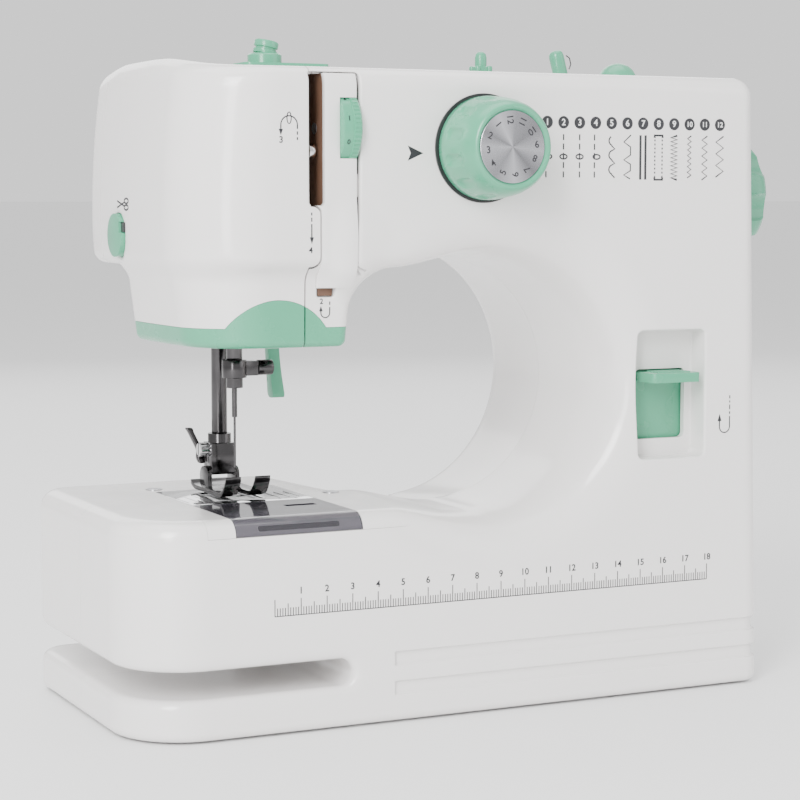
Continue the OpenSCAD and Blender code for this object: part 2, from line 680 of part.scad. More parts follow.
module presser_foot() place() color(dark) {
    difference() {
        box([needle_x - foot_w / 2, 45, foot_z], [needle_x + foot_w / 2, 84, foot_z + 1.8]);
        box([needle_x - 2.8, 40, 70], [needle_x + 2.8, 66, 90]);
    }
    for (s = [-1, 1]) difference() {
        union() {
            box([needle_x + s * 6.4 - 1.1, presser_y - 5, foot_z], [needle_x + s * 6.4 + 1.1, presser_y + 5, foot_z + 6.6]);
            rod_x(needle_x + s * 6.4 - 1.1, needle_x + s * 6.4 + 1.1, presser_y, foot_pin_z, 2.2);
        }
    }
    rod_x(needle_x - 6, needle_x + 6, presser_y, foot_pin_z, 1.2);
}

// ---- controls ----
module pattern_dial() place() color(mint) difference() {
    union() {
        translate([dial_x, 0, dial_z]) rotate([90, 0, 0]) rotate_extrude()
            polygon([[0, gap], [dial_r, gap], [dial_r, 9], [15.6, dial_out - 1.5], [14.6, dial_out],
                [13, dial_out], [13, dial_out - 0.8], [0, dial_out - 0.8]]);
        rod_y(-gap - e, 28, dial_x, dial_z, 4);
    }
    for (a = [0:45:359]) translate([dial_x, 0, dial_z]) rotate([90, a, 0])
        translate([dial_r + 2.6, 0, 3]) cylinder(h = dial_out, r = 4);
}
module dial_plate() place() color([0.85, 0.85, 0.87]) rod_y(-dial_out + 0.1, -dial_out + 0.8, dial_x, dial_z, 12.9);
module pattern_cam() place() color(white) difference() {
    for (i = [0:4]) rod_y(9.4 + i * 3.6, 12.6 + i * 3.6 + (i < 4 ? 0.5 : 0), dial_x + sin(i * 72), dial_z, 13.4 - (i % 2));
    rod_y(8, 30, dial_x, dial_z, 4);
}
module tension_dial() place() color(mint) tube_x(77.5, 84.3, tension_y, tension_z, tension_r, 2 + run);
module tension_discs() place() color(steel) for (x = [73, 74.6])
    tube_x(x, x + 0.8, tension_y, tension_z, 5.8, 2);
module reverse_lever() place() color(mint) {
    box([recess_x + 2, 12.8, recess_z + 5], [recess_x + recess_w - 2, 15, recess_z + recess_h - 1]);
    box([recess_x + 4.3, -2.5, 120], [recess_x + 25.8, 12.8 + e, 124]);
}
module spool_pin() place() color(mint) {
    rod_z(height - 52, height + 11, spool_x, seam, 2.15);
    rod_z(height + 1.2, height + 5.5, spool_x, seam, 3.5);
}
module spool_pin_base() place() color(mint) difference() {
    translate([0, 0, height]) linear_extrude(1) soft_rect(spool_x - 12.5, seam - 7, spool_x + 12.5, seam + 7, 5);
    rod_z(height - 1, height + 2, spool_x, seam, 2.15 + run);
}
module winder_frame() translate([winder_x, seam, winder_z]) rotate([0, winder_tilt, 0]) children();
module winder_arm() place() color(dark) winder_frame() difference() {
    union() {
        box([-5.5, -5, -7], [5.5, 5, 1.5]);
        rod_y(-9, 9, 0, -3, 2);
    }
    rod_z(-8, 3, 0, 0, 2.6 + run);
}
module winder_spindle() place() color(mint) winder_frame() {
    rod_z(-13, 22.4, 0, 0, 2.6);
    rod_z(-12.5, -9, 0, 0, 6);
    rod_z(11, 13, 0, 0, 4.4);
}
module winder_stop() place() color(mint) translate([226.5, seam, height]) difference() {
    sphere(r = 8.2);
    box([-10, -10, -10], [10, 10, 0]);
    box([-10, -10, -1], [-5.4, 10, 10]);
}
module thread_guide() place() color(mint) {
    translate([0, 0, height]) linear_extrude(1.2) soft_rect(58.5, 44, 88.6, 60, 3);
    rod_z(height + 1.1, height + 5, 67.7, 52, 6);
    rod_z(height + 5 - e, height + 8, 67.7, 52, 2.2);
    translate([67.7, 52, height + 9.6]) rotate([0, 12, 0]) rod_z(-2, 2.6, 0, 0, 4.35);
}
module thread_cutter() place() color(mint) difference() {
    rod_x(head_x - 1.4, head_x + 6, 74, 176, 8);
    box([head_x - 5, 65, 177], [head_x + 4, 69, 181]);
}
module lamp() place() color([0.95, 0.95, 0.85]) rod_z(neck_z + 1, neck_z + 9, 42, 66, 5);
module power_switch() place() color(dark)
    box([side_x(jack_z) - 9, switch_y - 7, jack_z - 5], [side_x(jack_z) + 0.8, switch_y + 7, jack_z + 5]);
module sockets() place() color(dark) {
    difference() {
        rod_x(243.6, side_x(jack_z) + 0.2, power_y, jack_z, 5.5);
        rod_x(247, body_len + 1, power_y, jack_z, 2.8);
    }
    rod_x(246.5, side_x(jack_z) - 1, power_y, jack_z, 0.6);
    difference() {
        rod_x(243.6, side_x(jack_z) + 0.2, pedal_y, jack_z, 5.5);
        rod_x(247, body_len + 1, pedal_y, jack_z, 1.8);
    }
}
module circuit_board() place() color([0.2, 0.45, 0.3]) {
    box([242, 24, 36], [243.6, 96, 72]);
    box([238, 76, 40], [242 + e, 88, 56]);
}

front_shell();
rear_shell();
face_cover();
neck_trims();
guide_strip();
base_plate();
rubber_feet();
bed_plate();
needle_plate();
screws();
bobbin_cover();
feed_dog();
feed_carrier();
hook();
hook_gear();
bobbin_case();
bobbin();
lower_shaft();
lower_pulley();
lower_gear();
main_shaft();
crank_disc();
upper_pulley();
handwheel();
motor();
motor_pulley();
drive_belts();
chassis();
shaft_bushes();
needle_cradle();
needle_bar();
needle_link();
needle_clamp();
clamp_screw();
needle();
take_up_lever();
presser_bar();
presser_spring();
presser_lifter();
foot_holder();
foot_screw();
foot_release();
presser_foot();
pattern_dial();
dial_plate();
pattern_cam();
tension_dial();
tension_discs();
reverse_lever();
spool_pin();
spool_pin_base();
winder_arm();
winder_spindle();
winder_stop();
thread_guide();
thread_cutter();
lamp();
power_switch();
sockets();
circuit_board();
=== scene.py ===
import json
import math

import bpy
import numpy as np
from mathutils import Matrix, Vector


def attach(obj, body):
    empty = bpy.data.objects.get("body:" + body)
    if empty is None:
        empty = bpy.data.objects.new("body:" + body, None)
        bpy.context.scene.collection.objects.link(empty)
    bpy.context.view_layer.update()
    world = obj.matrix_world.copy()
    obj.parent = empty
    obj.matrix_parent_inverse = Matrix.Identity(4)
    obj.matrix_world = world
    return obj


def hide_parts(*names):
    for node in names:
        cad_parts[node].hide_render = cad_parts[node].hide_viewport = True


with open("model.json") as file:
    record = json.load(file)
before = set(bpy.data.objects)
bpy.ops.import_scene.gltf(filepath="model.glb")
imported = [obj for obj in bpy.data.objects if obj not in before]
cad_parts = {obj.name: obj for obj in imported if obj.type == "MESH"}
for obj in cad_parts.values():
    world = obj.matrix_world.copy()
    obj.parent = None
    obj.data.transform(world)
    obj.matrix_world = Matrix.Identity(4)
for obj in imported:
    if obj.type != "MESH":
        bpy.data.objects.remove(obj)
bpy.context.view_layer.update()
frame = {"nodes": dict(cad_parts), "record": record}
print("frame loaded")

mm = 0.001
origin = Vector((-0.140, -0.04725, 0.0))    # where the machine's own zero (left end, front face, table) lies

studio = {
    "eye": (-238.5, -705.4, 189.1),          # machine millimetres
    "azimuth": 25.68, "pitch": 5.21, "lens": 98.93,
    "floor": (0.88, 0.88, 0.88), "floorRough": 0.6, "worldPower": 1.15,
    "lights": [                              # name, place, aim, width and height in metres, watts
        ("keyLight", (-0.95, -0.9, 1.0), (0, 0, 0.12), (0.5, 1.0), 26),
        ("stripLight", (-1.05, -1.15, 0.5), (-0.05, 0, 0.14), (0.3, 1.3), 13),
        ("fillLight", (1.3, -0.9, 0.7), (0, 0, 0.12), (1.0, 1.2), 6),
        ("topLight", (0.0, 0.2, 1.5), (0, 0, 0.1), (1.4, 1.0), 12),
        ("backLight", (0.4, 1.4, 0.8), (0, 0, 0.12), (1.4, 0.8), 7),
    ],
}


def place(x, y, z):
    return origin + Vector((x, y, z)) * mm


def turnBy(degrees, axis):
    return Matrix.Rotation(math.radians(degrees), 4, axis)


def setCamera():
    data = bpy.data.cameras.new("camera")
    data.lens = studio["lens"]
    data.sensor_width = 36
    camera = bpy.data.objects.new("camera", data)
    bpy.context.scene.collection.objects.link(camera)
    camera.location = place(*studio["eye"])
    camera.rotation_euler = (math.radians(90 - studio["pitch"]), 0, math.radians(-studio["azimuth"]))
    bpy.context.scene.camera = camera


def softLight(name, spot, target, size, power):
    data = bpy.data.lights.new(name, "AREA")
    data.shape = "RECTANGLE"
    data.size, data.size_y = size
    data.energy = power
    lamp = bpy.data.objects.new(name, data)
    bpy.context.scene.collection.objects.link(lamp)
    lamp.location = Vector(spot)
    aim = Vector(target) - Vector(spot)
    lamp.rotation_euler = aim.to_track_quat("-Z", "Y").to_euler()


def setStudio():
    for row in studio["lights"]:
        softLight(*row)
    world = bpy.data.worlds.new("studio")
    bpy.context.scene.world = world
    world.use_nodes = True
    world.node_tree.nodes["Background"].inputs["Color"].default_value = (1.0, 1.0, 1.0, 1)
    world.node_tree.nodes["Background"].inputs["Strength"].default_value = studio["worldPower"]
    bpy.ops.mesh.primitive_plane_add(size=400, location=(0, 0, -0.00002))    # a hair below the feet
    floor = bpy.context.object
    floor.name = "floor"
    paint = bpy.data.materials.new("floorPaint")
    paint.use_nodes = True
    shader = paint.node_tree.nodes["Principled BSDF"]
    shader.inputs["Base Color"].default_value = (*studio["floor"], 1)
    shader.inputs["Roughness"].default_value = studio["floorRough"]
    floor.data.materials.append(paint)


def only(obj):
    bpy.ops.object.select_all(action="DESELECT")
    obj.select_set(True)
    bpy.context.view_layer.objects.active = obj


def settle(obj):
    only(obj)
    bpy.ops.object.transform_apply(location=True, rotation=True, scale=True)
    return obj


def block(name, low, high, bevel=0.0, segments=3):
    bpy.ops.object.select_all(action="DESELECT")
    bpy.ops.mesh.primitive_cube_add(size=1)
    obj = bpy.context.object
    obj.name = name
    low, high = Vector(low), Vector(high)
    obj.scale = (high - low) * mm
    obj.location = place(*((low + high) / 2))
    settle(obj)
    if bevel:
        softenAll(obj, bevel, segments)
    return obj


def rod(name, start, end, radius, sides=48, radiusEnd=None):
    start, end = place(*start), place(*end)
    axis = end - start
    bpy.ops.object.select_all(action="DESELECT")
    bpy.ops.mesh.primitive_cone_add(vertices=sides, radius1=radius * mm,
                                    radius2=(radius if radiusEnd is None else radiusEnd) * mm,
                                    depth=axis.length)
    obj = bpy.context.object
    obj.name = name
    obj.rotation_euler = axis.to_track_quat("Z", "Y").to_euler()
    obj.location = (start + end) / 2
    return settle(obj)


def apply(obj, kind, **settings):
    only(obj)
    modifier = obj.modifiers.new(kind.lower(), kind)
    for key, value in settings.items():
        setattr(modifier, key, value)
    bpy.ops.object.modifier_apply(modifier=modifier.name)
    return obj


def softenAll(obj, width, segments=3, angle=30):
    return apply(obj, "BEVEL", width=width * mm, segments=segments, limit_method="ANGLE",
                 angle_limit=math.radians(angle), harden_normals=False)


def cut(obj, tool, operation="DIFFERENCE", keep=False):
    apply(obj, "BOOLEAN", object=tool, operation=operation, solver="MANIFOLD")
    if not keep:
        bpy.data.objects.remove(tool)
    return obj


def fuse(name, objects):
    bpy.ops.object.select_all(action="DESELECT")
    for obj in objects:
        obj.select_set(True)
    bpy.context.view_layer.objects.active = objects[0]
    if len(objects) > 1:
        bpy.ops.object.join()
    objects[0].name = name
    return objects[0]


def smooth(obj, angle=35):
    only(obj)
    bpy.ops.object.shade_smooth_by_angle(angle=math.radians(angle))
    return obj


def newPaint(name, color, rough, metal=0.0):
    paint = bpy.data.materials.new(name)
    paint.use_nodes = True
    nodes, links = paint.node_tree.nodes, paint.node_tree.links
    shader = nodes["Principled BSDF"]
    shader.inputs["Metallic"].default_value = metal
    shader.inputs["Roughness"].default_value = rough
    shader.inputs["Base Color"].default_value = (*color, 1)
    coord = nodes.new("ShaderNodeTexCoord")
    return paint, nodes, links, shader, coord


def noise(nodes, links, coord, scale, detail=2.0, stretch=(1, 1, 1)):
    mapping = nodes.new("ShaderNodeMapping")
    mapping.inputs["Scale"].default_value = stretch
    links.new(coord.outputs["Object"], mapping.inputs["Vector"])
    texture = nodes.new("ShaderNodeTexNoise")
    texture.inputs["Scale"].default_value = scale
    texture.inputs["Detail"].default_value = detail
    links.new(mapping.outputs["Vector"], texture.inputs["Vector"])
    return texture.outputs["Fac"]


def spread(nodes, links, value, low, high):
    ranged = nodes.new("ShaderNodeMapRange")
    ranged.inputs["From Min"].default_value = 0.3
    ranged.inputs["From Max"].default_value = 0.7
    ranged.inputs["To Min"].default_value = low
    ranged.inputs["To Max"].default_value = high
    links.new(value, ranged.inputs["Value"])
    return ranged.outputs["Result"]


def ramp(nodes, links, value, dark, light, start=0.3, end=0.7):
    colors = nodes.new("ShaderNodeValToRGB")
    colors.color_ramp.elements[0].position = start
    colors.color_ramp.elements[0].color = (*dark, 1)
    colors.color_ramp.elements[1].position = end
    colors.color_ramp.elements[1].color = (*light, 1)
    links.new(value, colors.inputs["Fac"])
    return colors.outputs["Color"]


def bump(nodes, links, shader, height, strength, distance):
    node = nodes.new("ShaderNodeBump")
    node.inputs["Strength"].default_value = strength
    node.inputs["Distance"].default_value = distance
    links.new(height, node.inputs["Height"])
    links.new(node.outputs["Normal"], shader.inputs["Normal"])


def plastic(name, color, rough=0.25, mottle=0.04, grain=0.06, grainScale=1500, coat=0.0):
    paint, nodes, links, shader, coord = newPaint(name, color, rough)
    soft = noise(nodes, links, coord, 14, 3)
    dark = [c * (1 - mottle) for c in color]
    light = [min(1, c * (1 + mottle * 0.5)) for c in color]
    links.new(ramp(nodes, links, soft, dark, light), shader.inputs["Base Color"])
    smear = noise(nodes, links, coord, 60, 4)
    links.new(spread(nodes, links, smear, rough * 0.85, rough * 1.2), shader.inputs["Roughness"])
    fine = noise(nodes, links, coord, grainScale, 2)
    bump(nodes, links, shader, fine, grain, 0.00005)
    shader.inputs["Coat Weight"].default_value = coat
    shader.inputs["Coat Roughness"].default_value = 0.08
    shader.inputs["IOR"].default_value = 1.5
    return paint


def metal(name, color, rough=0.2, brush=(1, 1, 1), grain=0.1, grainScale=900, tarnish=0.12):
    paint, nodes, links, shader, coord = newPaint(name, color, rough, 1.0)
    soft = noise(nodes, links, coord, 120, 4)
    links.new(ramp(nodes, links, soft, [c * (1 - tarnish) for c in color], color),
              shader.inputs["Base Color"])
    lines = noise(nodes, links, coord, grainScale, 3, brush)
    links.new(spread(nodes, links, lines, rough * 0.7, rough * 1.4), shader.inputs["Roughness"])
    bump(nodes, links, shader, lines, grain, 0.00004)
    return paint


def spunMetal(name, color, center, axis, rough=0.22):
    paint, nodes, links, shader, coord = newPaint(name, color, rough, 1.0)
    mapping = nodes.new("ShaderNodeMapping")
    mapping.inputs["Location"].default_value = -Vector(center)
    links.new(coord.outputs["Object"], mapping.inputs["Vector"])
    rings = nodes.new("ShaderNodeTexWave")
    rings.wave_type = "RINGS"
    rings.rings_direction = axis
    rings.inputs["Scale"].default_value = 900
    rings.inputs["Distortion"].default_value = 1.5
    rings.inputs["Detail"].default_value = 3
    rings.inputs["Detail Scale"].default_value = 2
    links.new(mapping.outputs["Vector"], rings.inputs["Vector"])
    flat = nodes.new("ShaderNodeMapping")
    quarter = math.radians(90)
    flat.inputs["Rotation"].default_value = (quarter, 0, 0) if axis == "Y" else (0, quarter, 0)
    links.new(mapping.outputs["Vector"], flat.inputs["Vector"])
    sweep = nodes.new("ShaderNodeTexGradient")
    sweep.gradient_type = "RADIAL"
    links.new(flat.outputs["Vector"], sweep.inputs["Vector"])
    paintedGlintWedges = nodes.new("ShaderNodeValToRGB")              # painted highlight and shade wedges, standing in for the reflections on a lathe-turned face
    stops = paintedGlintWedges.color_ramp.elements
    # brighter and darker stops at set angles round the face: painted highlights and shade, not the metal's
    # own colour
    for spot, level in ((0.07, 0.5), (0.17, 1.1), (0.27, 0.6), (0.40, 0.45), (0.52, 0.85), (0.63, 0.42),
                        (0.74, 1.0), (0.85, 0.55)):
        stops.new(spot).color = (*[min(1, c * level) for c in color], 1)
    stops[0].color = stops[-1].color = (*[c * 0.9 for c in color], 1)
    links.new(sweep.outputs["Fac"], paintedGlintWedges.inputs["Fac"])
    links.new(paintedGlintWedges.outputs["Color"], shader.inputs["Base Color"])
    bump(nodes, links, shader, rings.outputs["Fac"], 0.4, 0.00003)
    return paint


tint = {
    "white": (0.82, 0.80, 0.79), "mint": (0.068, 0.345, 0.20), "ink": (0.02, 0.02, 0.024),
    "paintedShade": (0.12, 0.062, 0.038), "chrome": (0.72, 0.72, 0.73), "darkChrome": (0.085, 0.082, 0.084),
    "steel": (0.42, 0.42, 0.44), "rubber": (0.025, 0.025, 0.027), "smoke": (0.10, 0.10, 0.12),
}
paints = {
    "white": plastic("whitePlastic", tint["white"], 0.20, 0.012, 0.05, 1300, 0.35),
    "mint": plastic("mintPlastic", tint["mint"], 0.27, 0.05, 0.06, 1500, 0.2),
    "ink": plastic("printInk", tint["ink"], 0.45, 0.2, 0.1, 2500),
    "inkWhite": plastic("printWhite", (0.85, 0.85, 0.85), 0.45, 0.05, 0.1, 2500),
    # painted shade: a dark brown that stands in for the shadow inside the thread slot
    "paintedShade": plastic("paintedShadeBrown", tint["paintedShade"], 0.6, 0.1, 0.1, 1200),
    "rubber": plastic("feetRubber", tint["rubber"], 0.75, 0.3, 0.5, 1100),
    "belt": plastic("beltRubber", (0.03, 0.03, 0.03), 0.6, 0.25, 0.5, 1600),
    "black": plastic("blackPlastic", (0.02, 0.02, 0.022), 0.35, 0.2, 0.15, 1400),
    "nylon": plastic("nylonWhite", (0.72, 0.70, 0.64), 0.42, 0.05, 0.1, 1200),
    "board": plastic("circuitGreen", (0.03, 0.16, 0.07), 0.4, 0.25, 0.2, 400),
    "chrome": metal("brightChrome", tint["chrome"], 0.09, (1, 1, 0.15), 0.05, 500, 0.10),
    "darkChrome": metal("darkNickel", tint["darkChrome"], 0.14, (1, 1, 0.2), 0.06, 600, 0.25),
    "steel": metal("brushedSteel", tint["steel"], 0.26, (0.08, 1, 1), 0.15, 1100, 0.12),
    "cast": metal("castAlloy", (0.42, 0.42, 0.43), 0.45, (1, 1, 1), 0.5, 500, 0.25),
    "bronze": metal("bushBronze", (0.50, 0.30, 0.13), 0.32, (1, 1, 1), 0.2, 700, 0.25),
}


def finish(obj, paint, body, slot, *nodes):
    obj.data.materials.clear()
    obj.data.materials.append(paints[paint] if isinstance(paint, str) else paint)
    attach(obj, body)
    if nodes:
        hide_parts(*nodes)
    return obj


print("studio and finishes ready")


casing = {                                           # x from the left end, y from the front, z up
    "length": 258.5, "depth": 120, "height": 235.4, "stand": 0.8, "lean": 5.5, "seam": 60,
    "headX": 20.5, "headZ": 165, "armTop": 78,       # head's left side and underside, free arm's top
    "slabTop": 15.5, "armLow": 25.5, "slotEnd": 82.8,                # storage slot below the free arm
    "throatX": 143.5, "throatZ": 120.3, "throatR": 47.4, "frontR": 61, "rearR": 52.7, "flare": 30,
    "wall": 2.4, "noseR": 28, "cornerR": 13, "rightR": 7.5, "edgeR": 6.5, "crownR": 7.5, "slabR": 3.2,
    "neckX": 27, "neckRight": 81, "neckZ": 137, "neckFront": 6, "neckBack": 86,
    "grooves": (13.2, 24.0), "grooveHalf": 2.5, "grooveDepth": 1.3, "grooveStart": 99,
    "recessLow": (201.2, 91), "recessHigh": (230.3, 139.8), "recessDepth": 10,     # round the lever
    "slotLow": (65.9, 187), "slotHigh": (85.3, 233.4), "stripLow": (71.2, 154.8),  # thread guide's slot
    "cutter": (74, 176, 8.3),                        # y, z and radius of the thread cutter's hole
    "voxel": 1.6, "hollowVoxel": 3.0,                # mesh size of the outside and of the hollow
}


def roundAnd(a, b, r):                               # inside both, the edge rounded by r
    u, v = np.maximum(r + a, 0), np.maximum(r + b, 0)
    return np.minimum(np.maximum(a, b), -r) + np.sqrt(u * u + v * v)


def roundOr(a, b, r):                                # inside either, the corner filled by r
    u, v = np.maximum(r - a, 0), np.maximum(r - b, 0)
    return np.maximum(np.minimum(a, b), r) - np.sqrt(u * u + v * v)


def ease(low, high, value):
    t = np.clip((value - low) / (high - low), 0, 1)
    return t * t * (3 - 2 * t)


def flatBox(u, v, low, high, r):
    qu = np.abs(u - (low[0] + high[0]) / 2) - (high[0] - low[0]) / 2 + r
    qv = np.abs(v - (low[1] + high[1]) / 2) - (high[1] - low[1]) / 2 + r
    return np.minimum(np.maximum(qu, qv), 0) + np.hypot(np.maximum(qu, 0), np.maximum(qv, 0)) - r


def planShape(x, y, x0, x1, y0, y1, frontLeft, rearLeft, frontRight, rearRight):
    left, front = x < (x0 + x1) / 2, y < (y0 + y1) / 2
    r = np.where(left, np.where(front, frontLeft, rearLeft), np.where(front, frontRight, rearRight))
    return flatBox(x, y, (x0, y0), (x1, y1), r)


def bodyForm(p, hollow=False):                       # distance from the casing's smooth outside
    c = casing
    x, y, z = p[:, 0], p[:, 1], p[:, 2]
    # plan view: the head stands back from the free arm's end, and the right side leans in
    bulge = 4 * np.clip((z - 182) / 53, 0, 1) ** 2 + 1.2 * np.clip((182 - z) / 18, 0, 1) ** 2
    bulge = bulge + 2.2 * ((y - 66) / 54) ** 2
    leftEdge = np.where(z < 120, 0.0, c["headX"] + bulge)
    rightEdge = c["length"] - c["lean"] * np.clip((z - 5) / 218, 0, 1)
    plan = planShape(x, y, leftEdge, rightEdge, 0, c["depth"],
                     c["noseR"], c["cornerR"], c["rightR"], c["rightR"])
    # front view: free arm and base, head and upper arm, pillar, then the storage slot out of them
    low = c["stand"]
    top = c["height"] + 4.8 * (1 - ease(24, 58, x)) * ease(0, 55, y) * (1 - 0.6 * ease(85, 118, y))
    lower = np.abs(z - (low + c["armTop"]) / 2) - (c["armTop"] - low) / 2
    higher = np.abs(z - (c["headZ"] + top) / 2) - (top - c["headZ"]) / 2
    column = np.maximum(c["throatX"] - 8 - x, np.abs(z - (low + top) / 2) - (top - low) / 2)
    side = np.minimum(np.minimum(lower, higher), column)
    slotR = (c["armLow"] - c["slabTop"]) / 2
    slotZ = (c["armLow"] + c["slabTop"]) / 2
    side = np.maximum(side, slotR - np.hypot(np.maximum(x - (c["slotEnd"] - slotR), 0), z - slotZ))
    # the edge radius grows at the crown and shrinks at the thin slab
    nearEnd = np.maximum(1 - ease(30, 60, x), ease(215, 245, x))
    r = c["edgeR"] + (c["crownR"] - c["edgeR"]) * nearEnd * ease(190, 215, z)
    r = r - (c["edgeR"] - c["slabR"]) * (1 - ease(26, 34, z))
    lip = ease(150, 160, z) * (1 - ease(176, 190, z)) * (1 - ease(84, 96, x))
    r = r - (c["edgeR"] - 4.6) * lip                       # the head's lower edge is crisper
    body = roundAnd(side, plan, r)
    # round throat, flared to the front and widening to the rear
    depth = np.clip((c["flare"] - y) / c["flare"], 0, 1)
    wallR = c["throatR"] + (c["frontR"] - c["throatR"]) * (1 - np.sqrt(np.maximum(1 - depth ** 2, 0.0004)))
    wallR = wallR + (c["rearR"] - c["throatR"]) * np.clip((y - c["seam"]) / c["seam"], 0, 1.2)
    throat = np.hypot(x - c["throatX"], z - c["throatZ"]) - wallR
    body = roundAnd(body, -throat, np.where(y < c["seam"], 9.0, 18.0))
    # neck below the head, narrower downwards, filleted to the arm at its right
    taper = np.clip((164 - z) / 27, 0, 1.3)
    neckLeft = c["neckX"] - 2.4 + 2.0 * ((y - 60) / 50) ** 2 + 3.6 * taper
    neckRight = c["neckRight"] + 4.6 * (1 - ease(60, 73, y)) - 2.2 * taper
    neckPlan = planShape(x, y, neckLeft, neckRight, c["neckFront"] + 0.6 * taper,
                         c["neckBack"], 24, 12, 4, 6)
    neckSlab = np.maximum((c["neckZ"] - 9 if hollow else c["neckZ"]) - z, z - c["headZ"] - 12)
    neck = roundAnd(neckPlan, neckSlab, 2.4)
    blend = 5.5 + 10.5 * ease(70, 80, x) * (1 - ease(58, 70, y))
    body = roundOr(body, neck, blend)
    recess = np.maximum(flatBox(x, z, c["recessLow"], c["recessHigh"], 2.2), y - c["recessDepth"])
    return roundAnd(body, -recess, 0.9)


def slotShape(x, y, z):                              # thread guide's slot, wide above and narrow below
    c = casing
    shifted = np.where(x > 77, x + 1.9 * (1 - ease(168, 192, z)), x)
    slot = flatBox(shifted, z, c["slotLow"], c["slotHigh"], 1.2)
    slot = np.minimum(slot, flatBox(shifted, z, (c["stripLow"][0], 166), (c["slotHigh"][0], 195), 1.0))
    lower = np.maximum(flatBox(x, z, c["stripLow"], (77.5, 168), 0.8), y - 12)
    return np.minimum(np.maximum(slot, y - 6.5), lower)


def casingForm(p):
    c = casing
    x, y, z = p[:, 0], p[:, 1], p[:, 2]
    body = bodyForm(p)
    for height in c["grooves"]:
        groove = np.maximum(np.abs(z - height) - c["grooveHalf"], -body - c["grooveDepth"])
        groove = np.maximum(groove, np.maximum(c["grooveStart"] - x, y - 106))
        body = roundAnd(body, -groove, 0.45)
    slot = slotShape(x, y, z)
    body = roundAnd(body, -np.maximum(slot, -body - 4.5), 0.7)
    hole = np.hypot(y - c["cutter"][0], z - c["cutter"][1]) - c["cutter"][2]
    return roundAnd(body, -np.maximum(hole, x - 31), 0.7)


def hollowForm(p):
    return bodyForm(p, True) + casing["wall"]


def nearDetail(p, reach):                            # places whose edges need a finer mesh
    c = casing
    x, y, z = p[:, 0], p[:, 1], p[:, 2]
    recess = flatBox(x, z, c["recessLow"], c["recessHigh"], 2.2)
    close = (np.abs(recess) < reach) & (y < 12)
    slot = slotShape(x, 0 * y, z)
    close |= (np.abs(slot) < reach) & (y < 14)
    close |= (np.abs(np.hypot(y - c["cutter"][0], z - c["cutter"][1]) - c["cutter"][2]) < reach) & (x < 34)
    for height in c["grooves"]:
        band = np.abs(np.abs(z - height) - c["grooveHalf"])
        close |= (band < reach) & (x > c["grooveStart"] - 2) & ((y < 3) | ((x > 235) & (y < 108)))
        close |= (np.abs(z - height) < 4) & (np.abs(x - c["grooveStart"]) < reach) & (y < 3)
    return close


def readPoints(items, what="co"):
    flat = np.empty(len(items) * 3, np.float32)
    items.foreach_get(what, flat)
    return (flat.reshape(-1, 3).astype(float) - np.array(origin)) / mm


def writePoints(obj, points):
    obj.data.vertices.foreach_set("co", (points * mm + np.array(origin)).astype(np.float32).ravel())
    obj.data.update()
    return obj


def subdivideNear(obj, reach):
    points = readPoints(obj.data.polygons, "center")
    only(obj)
    obj.data.polygons.foreach_set("select", nearDetail(points, reach))
    bpy.ops.object.mode_set(mode="EDIT")
    bpy.ops.mesh.select_mode(type="FACE")
    bpy.ops.object.mode_set(mode="OBJECT")
    obj.data.polygons.foreach_set("select", nearDetail(points, reach))
    bpy.ops.object.mode_set(mode="EDIT")
    bpy.ops.mesh.subdivide(number_cuts=1)
    bpy.ops.object.mode_set(mode="OBJECT")


def relaxOnto(obj, form, rounds, settled=3):         # pull a rough mesh onto a distance form
    count = len(obj.data.vertices)
    points = readPoints(obj.data.vertices)
    edges = np.empty(len(obj.data.edges) * 2, np.int32)
    obj.data.edges.foreach_get("vertices", edges)
    first, second = edges[0::2], edges[1::2]
    degree = np.bincount(np.concatenate([first, second]), minlength=count)[:, None]
    h = 0.04
    for turn in range(rounds):
        if turn < rounds - settled:                   # even out the mesh before the last steps
            total = np.zeros_like(points)
            for axis in range(3):
                total[:, axis] = (np.bincount(first, points[second, axis], count)
                                  + np.bincount(second, points[first, axis], count))
            points = points * 0.5 + total / degree * 0.5
        here = form(points)
        slope = np.stack([(form(points + np.eye(3)[i] * h) - form(points - np.eye(3)[i] * h)) / (2 * h)
                          for i in range(3)], axis=1)
        size = np.maximum((slope ** 2).sum(1), 0.2)
        step = np.clip(here / size, -2, 2)
        points = points - slope * step[:, None]
    return writePoints(obj, points)


def roughBlock(name, pockets):
    c = casing
    body = block(name, (0, 0, c["stand"]), (c["length"], c["depth"], c["height"]))
    cut(body, block("gap", (-5, -5, c["armTop"]), (c["throatX"], 130, c["headZ"])))
    cut(body, block("corner", (-5, -5, c["headZ"] - 5), (c["headX"] + 2, 130, 260)))
    cut(body, rod("hole", (c["throatX"], -5, c["throatZ"]), (c["throatX"], 125, c["throatZ"]),
                  c["throatR"] + 2, 64))
    cut(body, block("slot", (-5, -5, c["slabTop"]), (c["slotEnd"] - 1, 130, c["armLow"])))
    cut(body, block("neck", (c["neckX"], c["neckFront"], c["neckZ"]), (c["neckRight"], c["neckBack"], 172)),
        "UNION")
    cut(body, block("side", (75, c["neckFront"], c["neckZ"]), (c["neckRight"] + 3.6, 64, 172)), "UNION")
    cut(body, block("fillet", (80, c["neckFront"] - 1, 157), (91, 60, 172)), "UNION")
    low, high = c["recessLow"], c["recessHigh"]
    cut(body, block("recess", (low[0], -5, low[1]), (high[0], c["recessDepth"], high[1])))
    if pockets:
        low, high = c["slotLow"], c["slotHigh"]
        cut(body, block("strip", (low[0], -5, low[1]), (high[0], 4.5, high[1])))
        low = c["stripLow"]
        cut(body, block("strip", (low[0], -5, 166), (high[0] - 1, 5, 190)))
        cut(body, block("strip", (low[0], -5, low[1]), (77.5, 10.5, 168)))
        y, z, r = c["cutter"]
        cut(body, rod("hole", (10, y, z), (30, y, z), r, 32))
    return body


def remesh(obj, size):
    only(obj)
    obj.data.remesh_voxel_size = size * mm
    bpy.ops.object.voxel_remesh()
    return obj


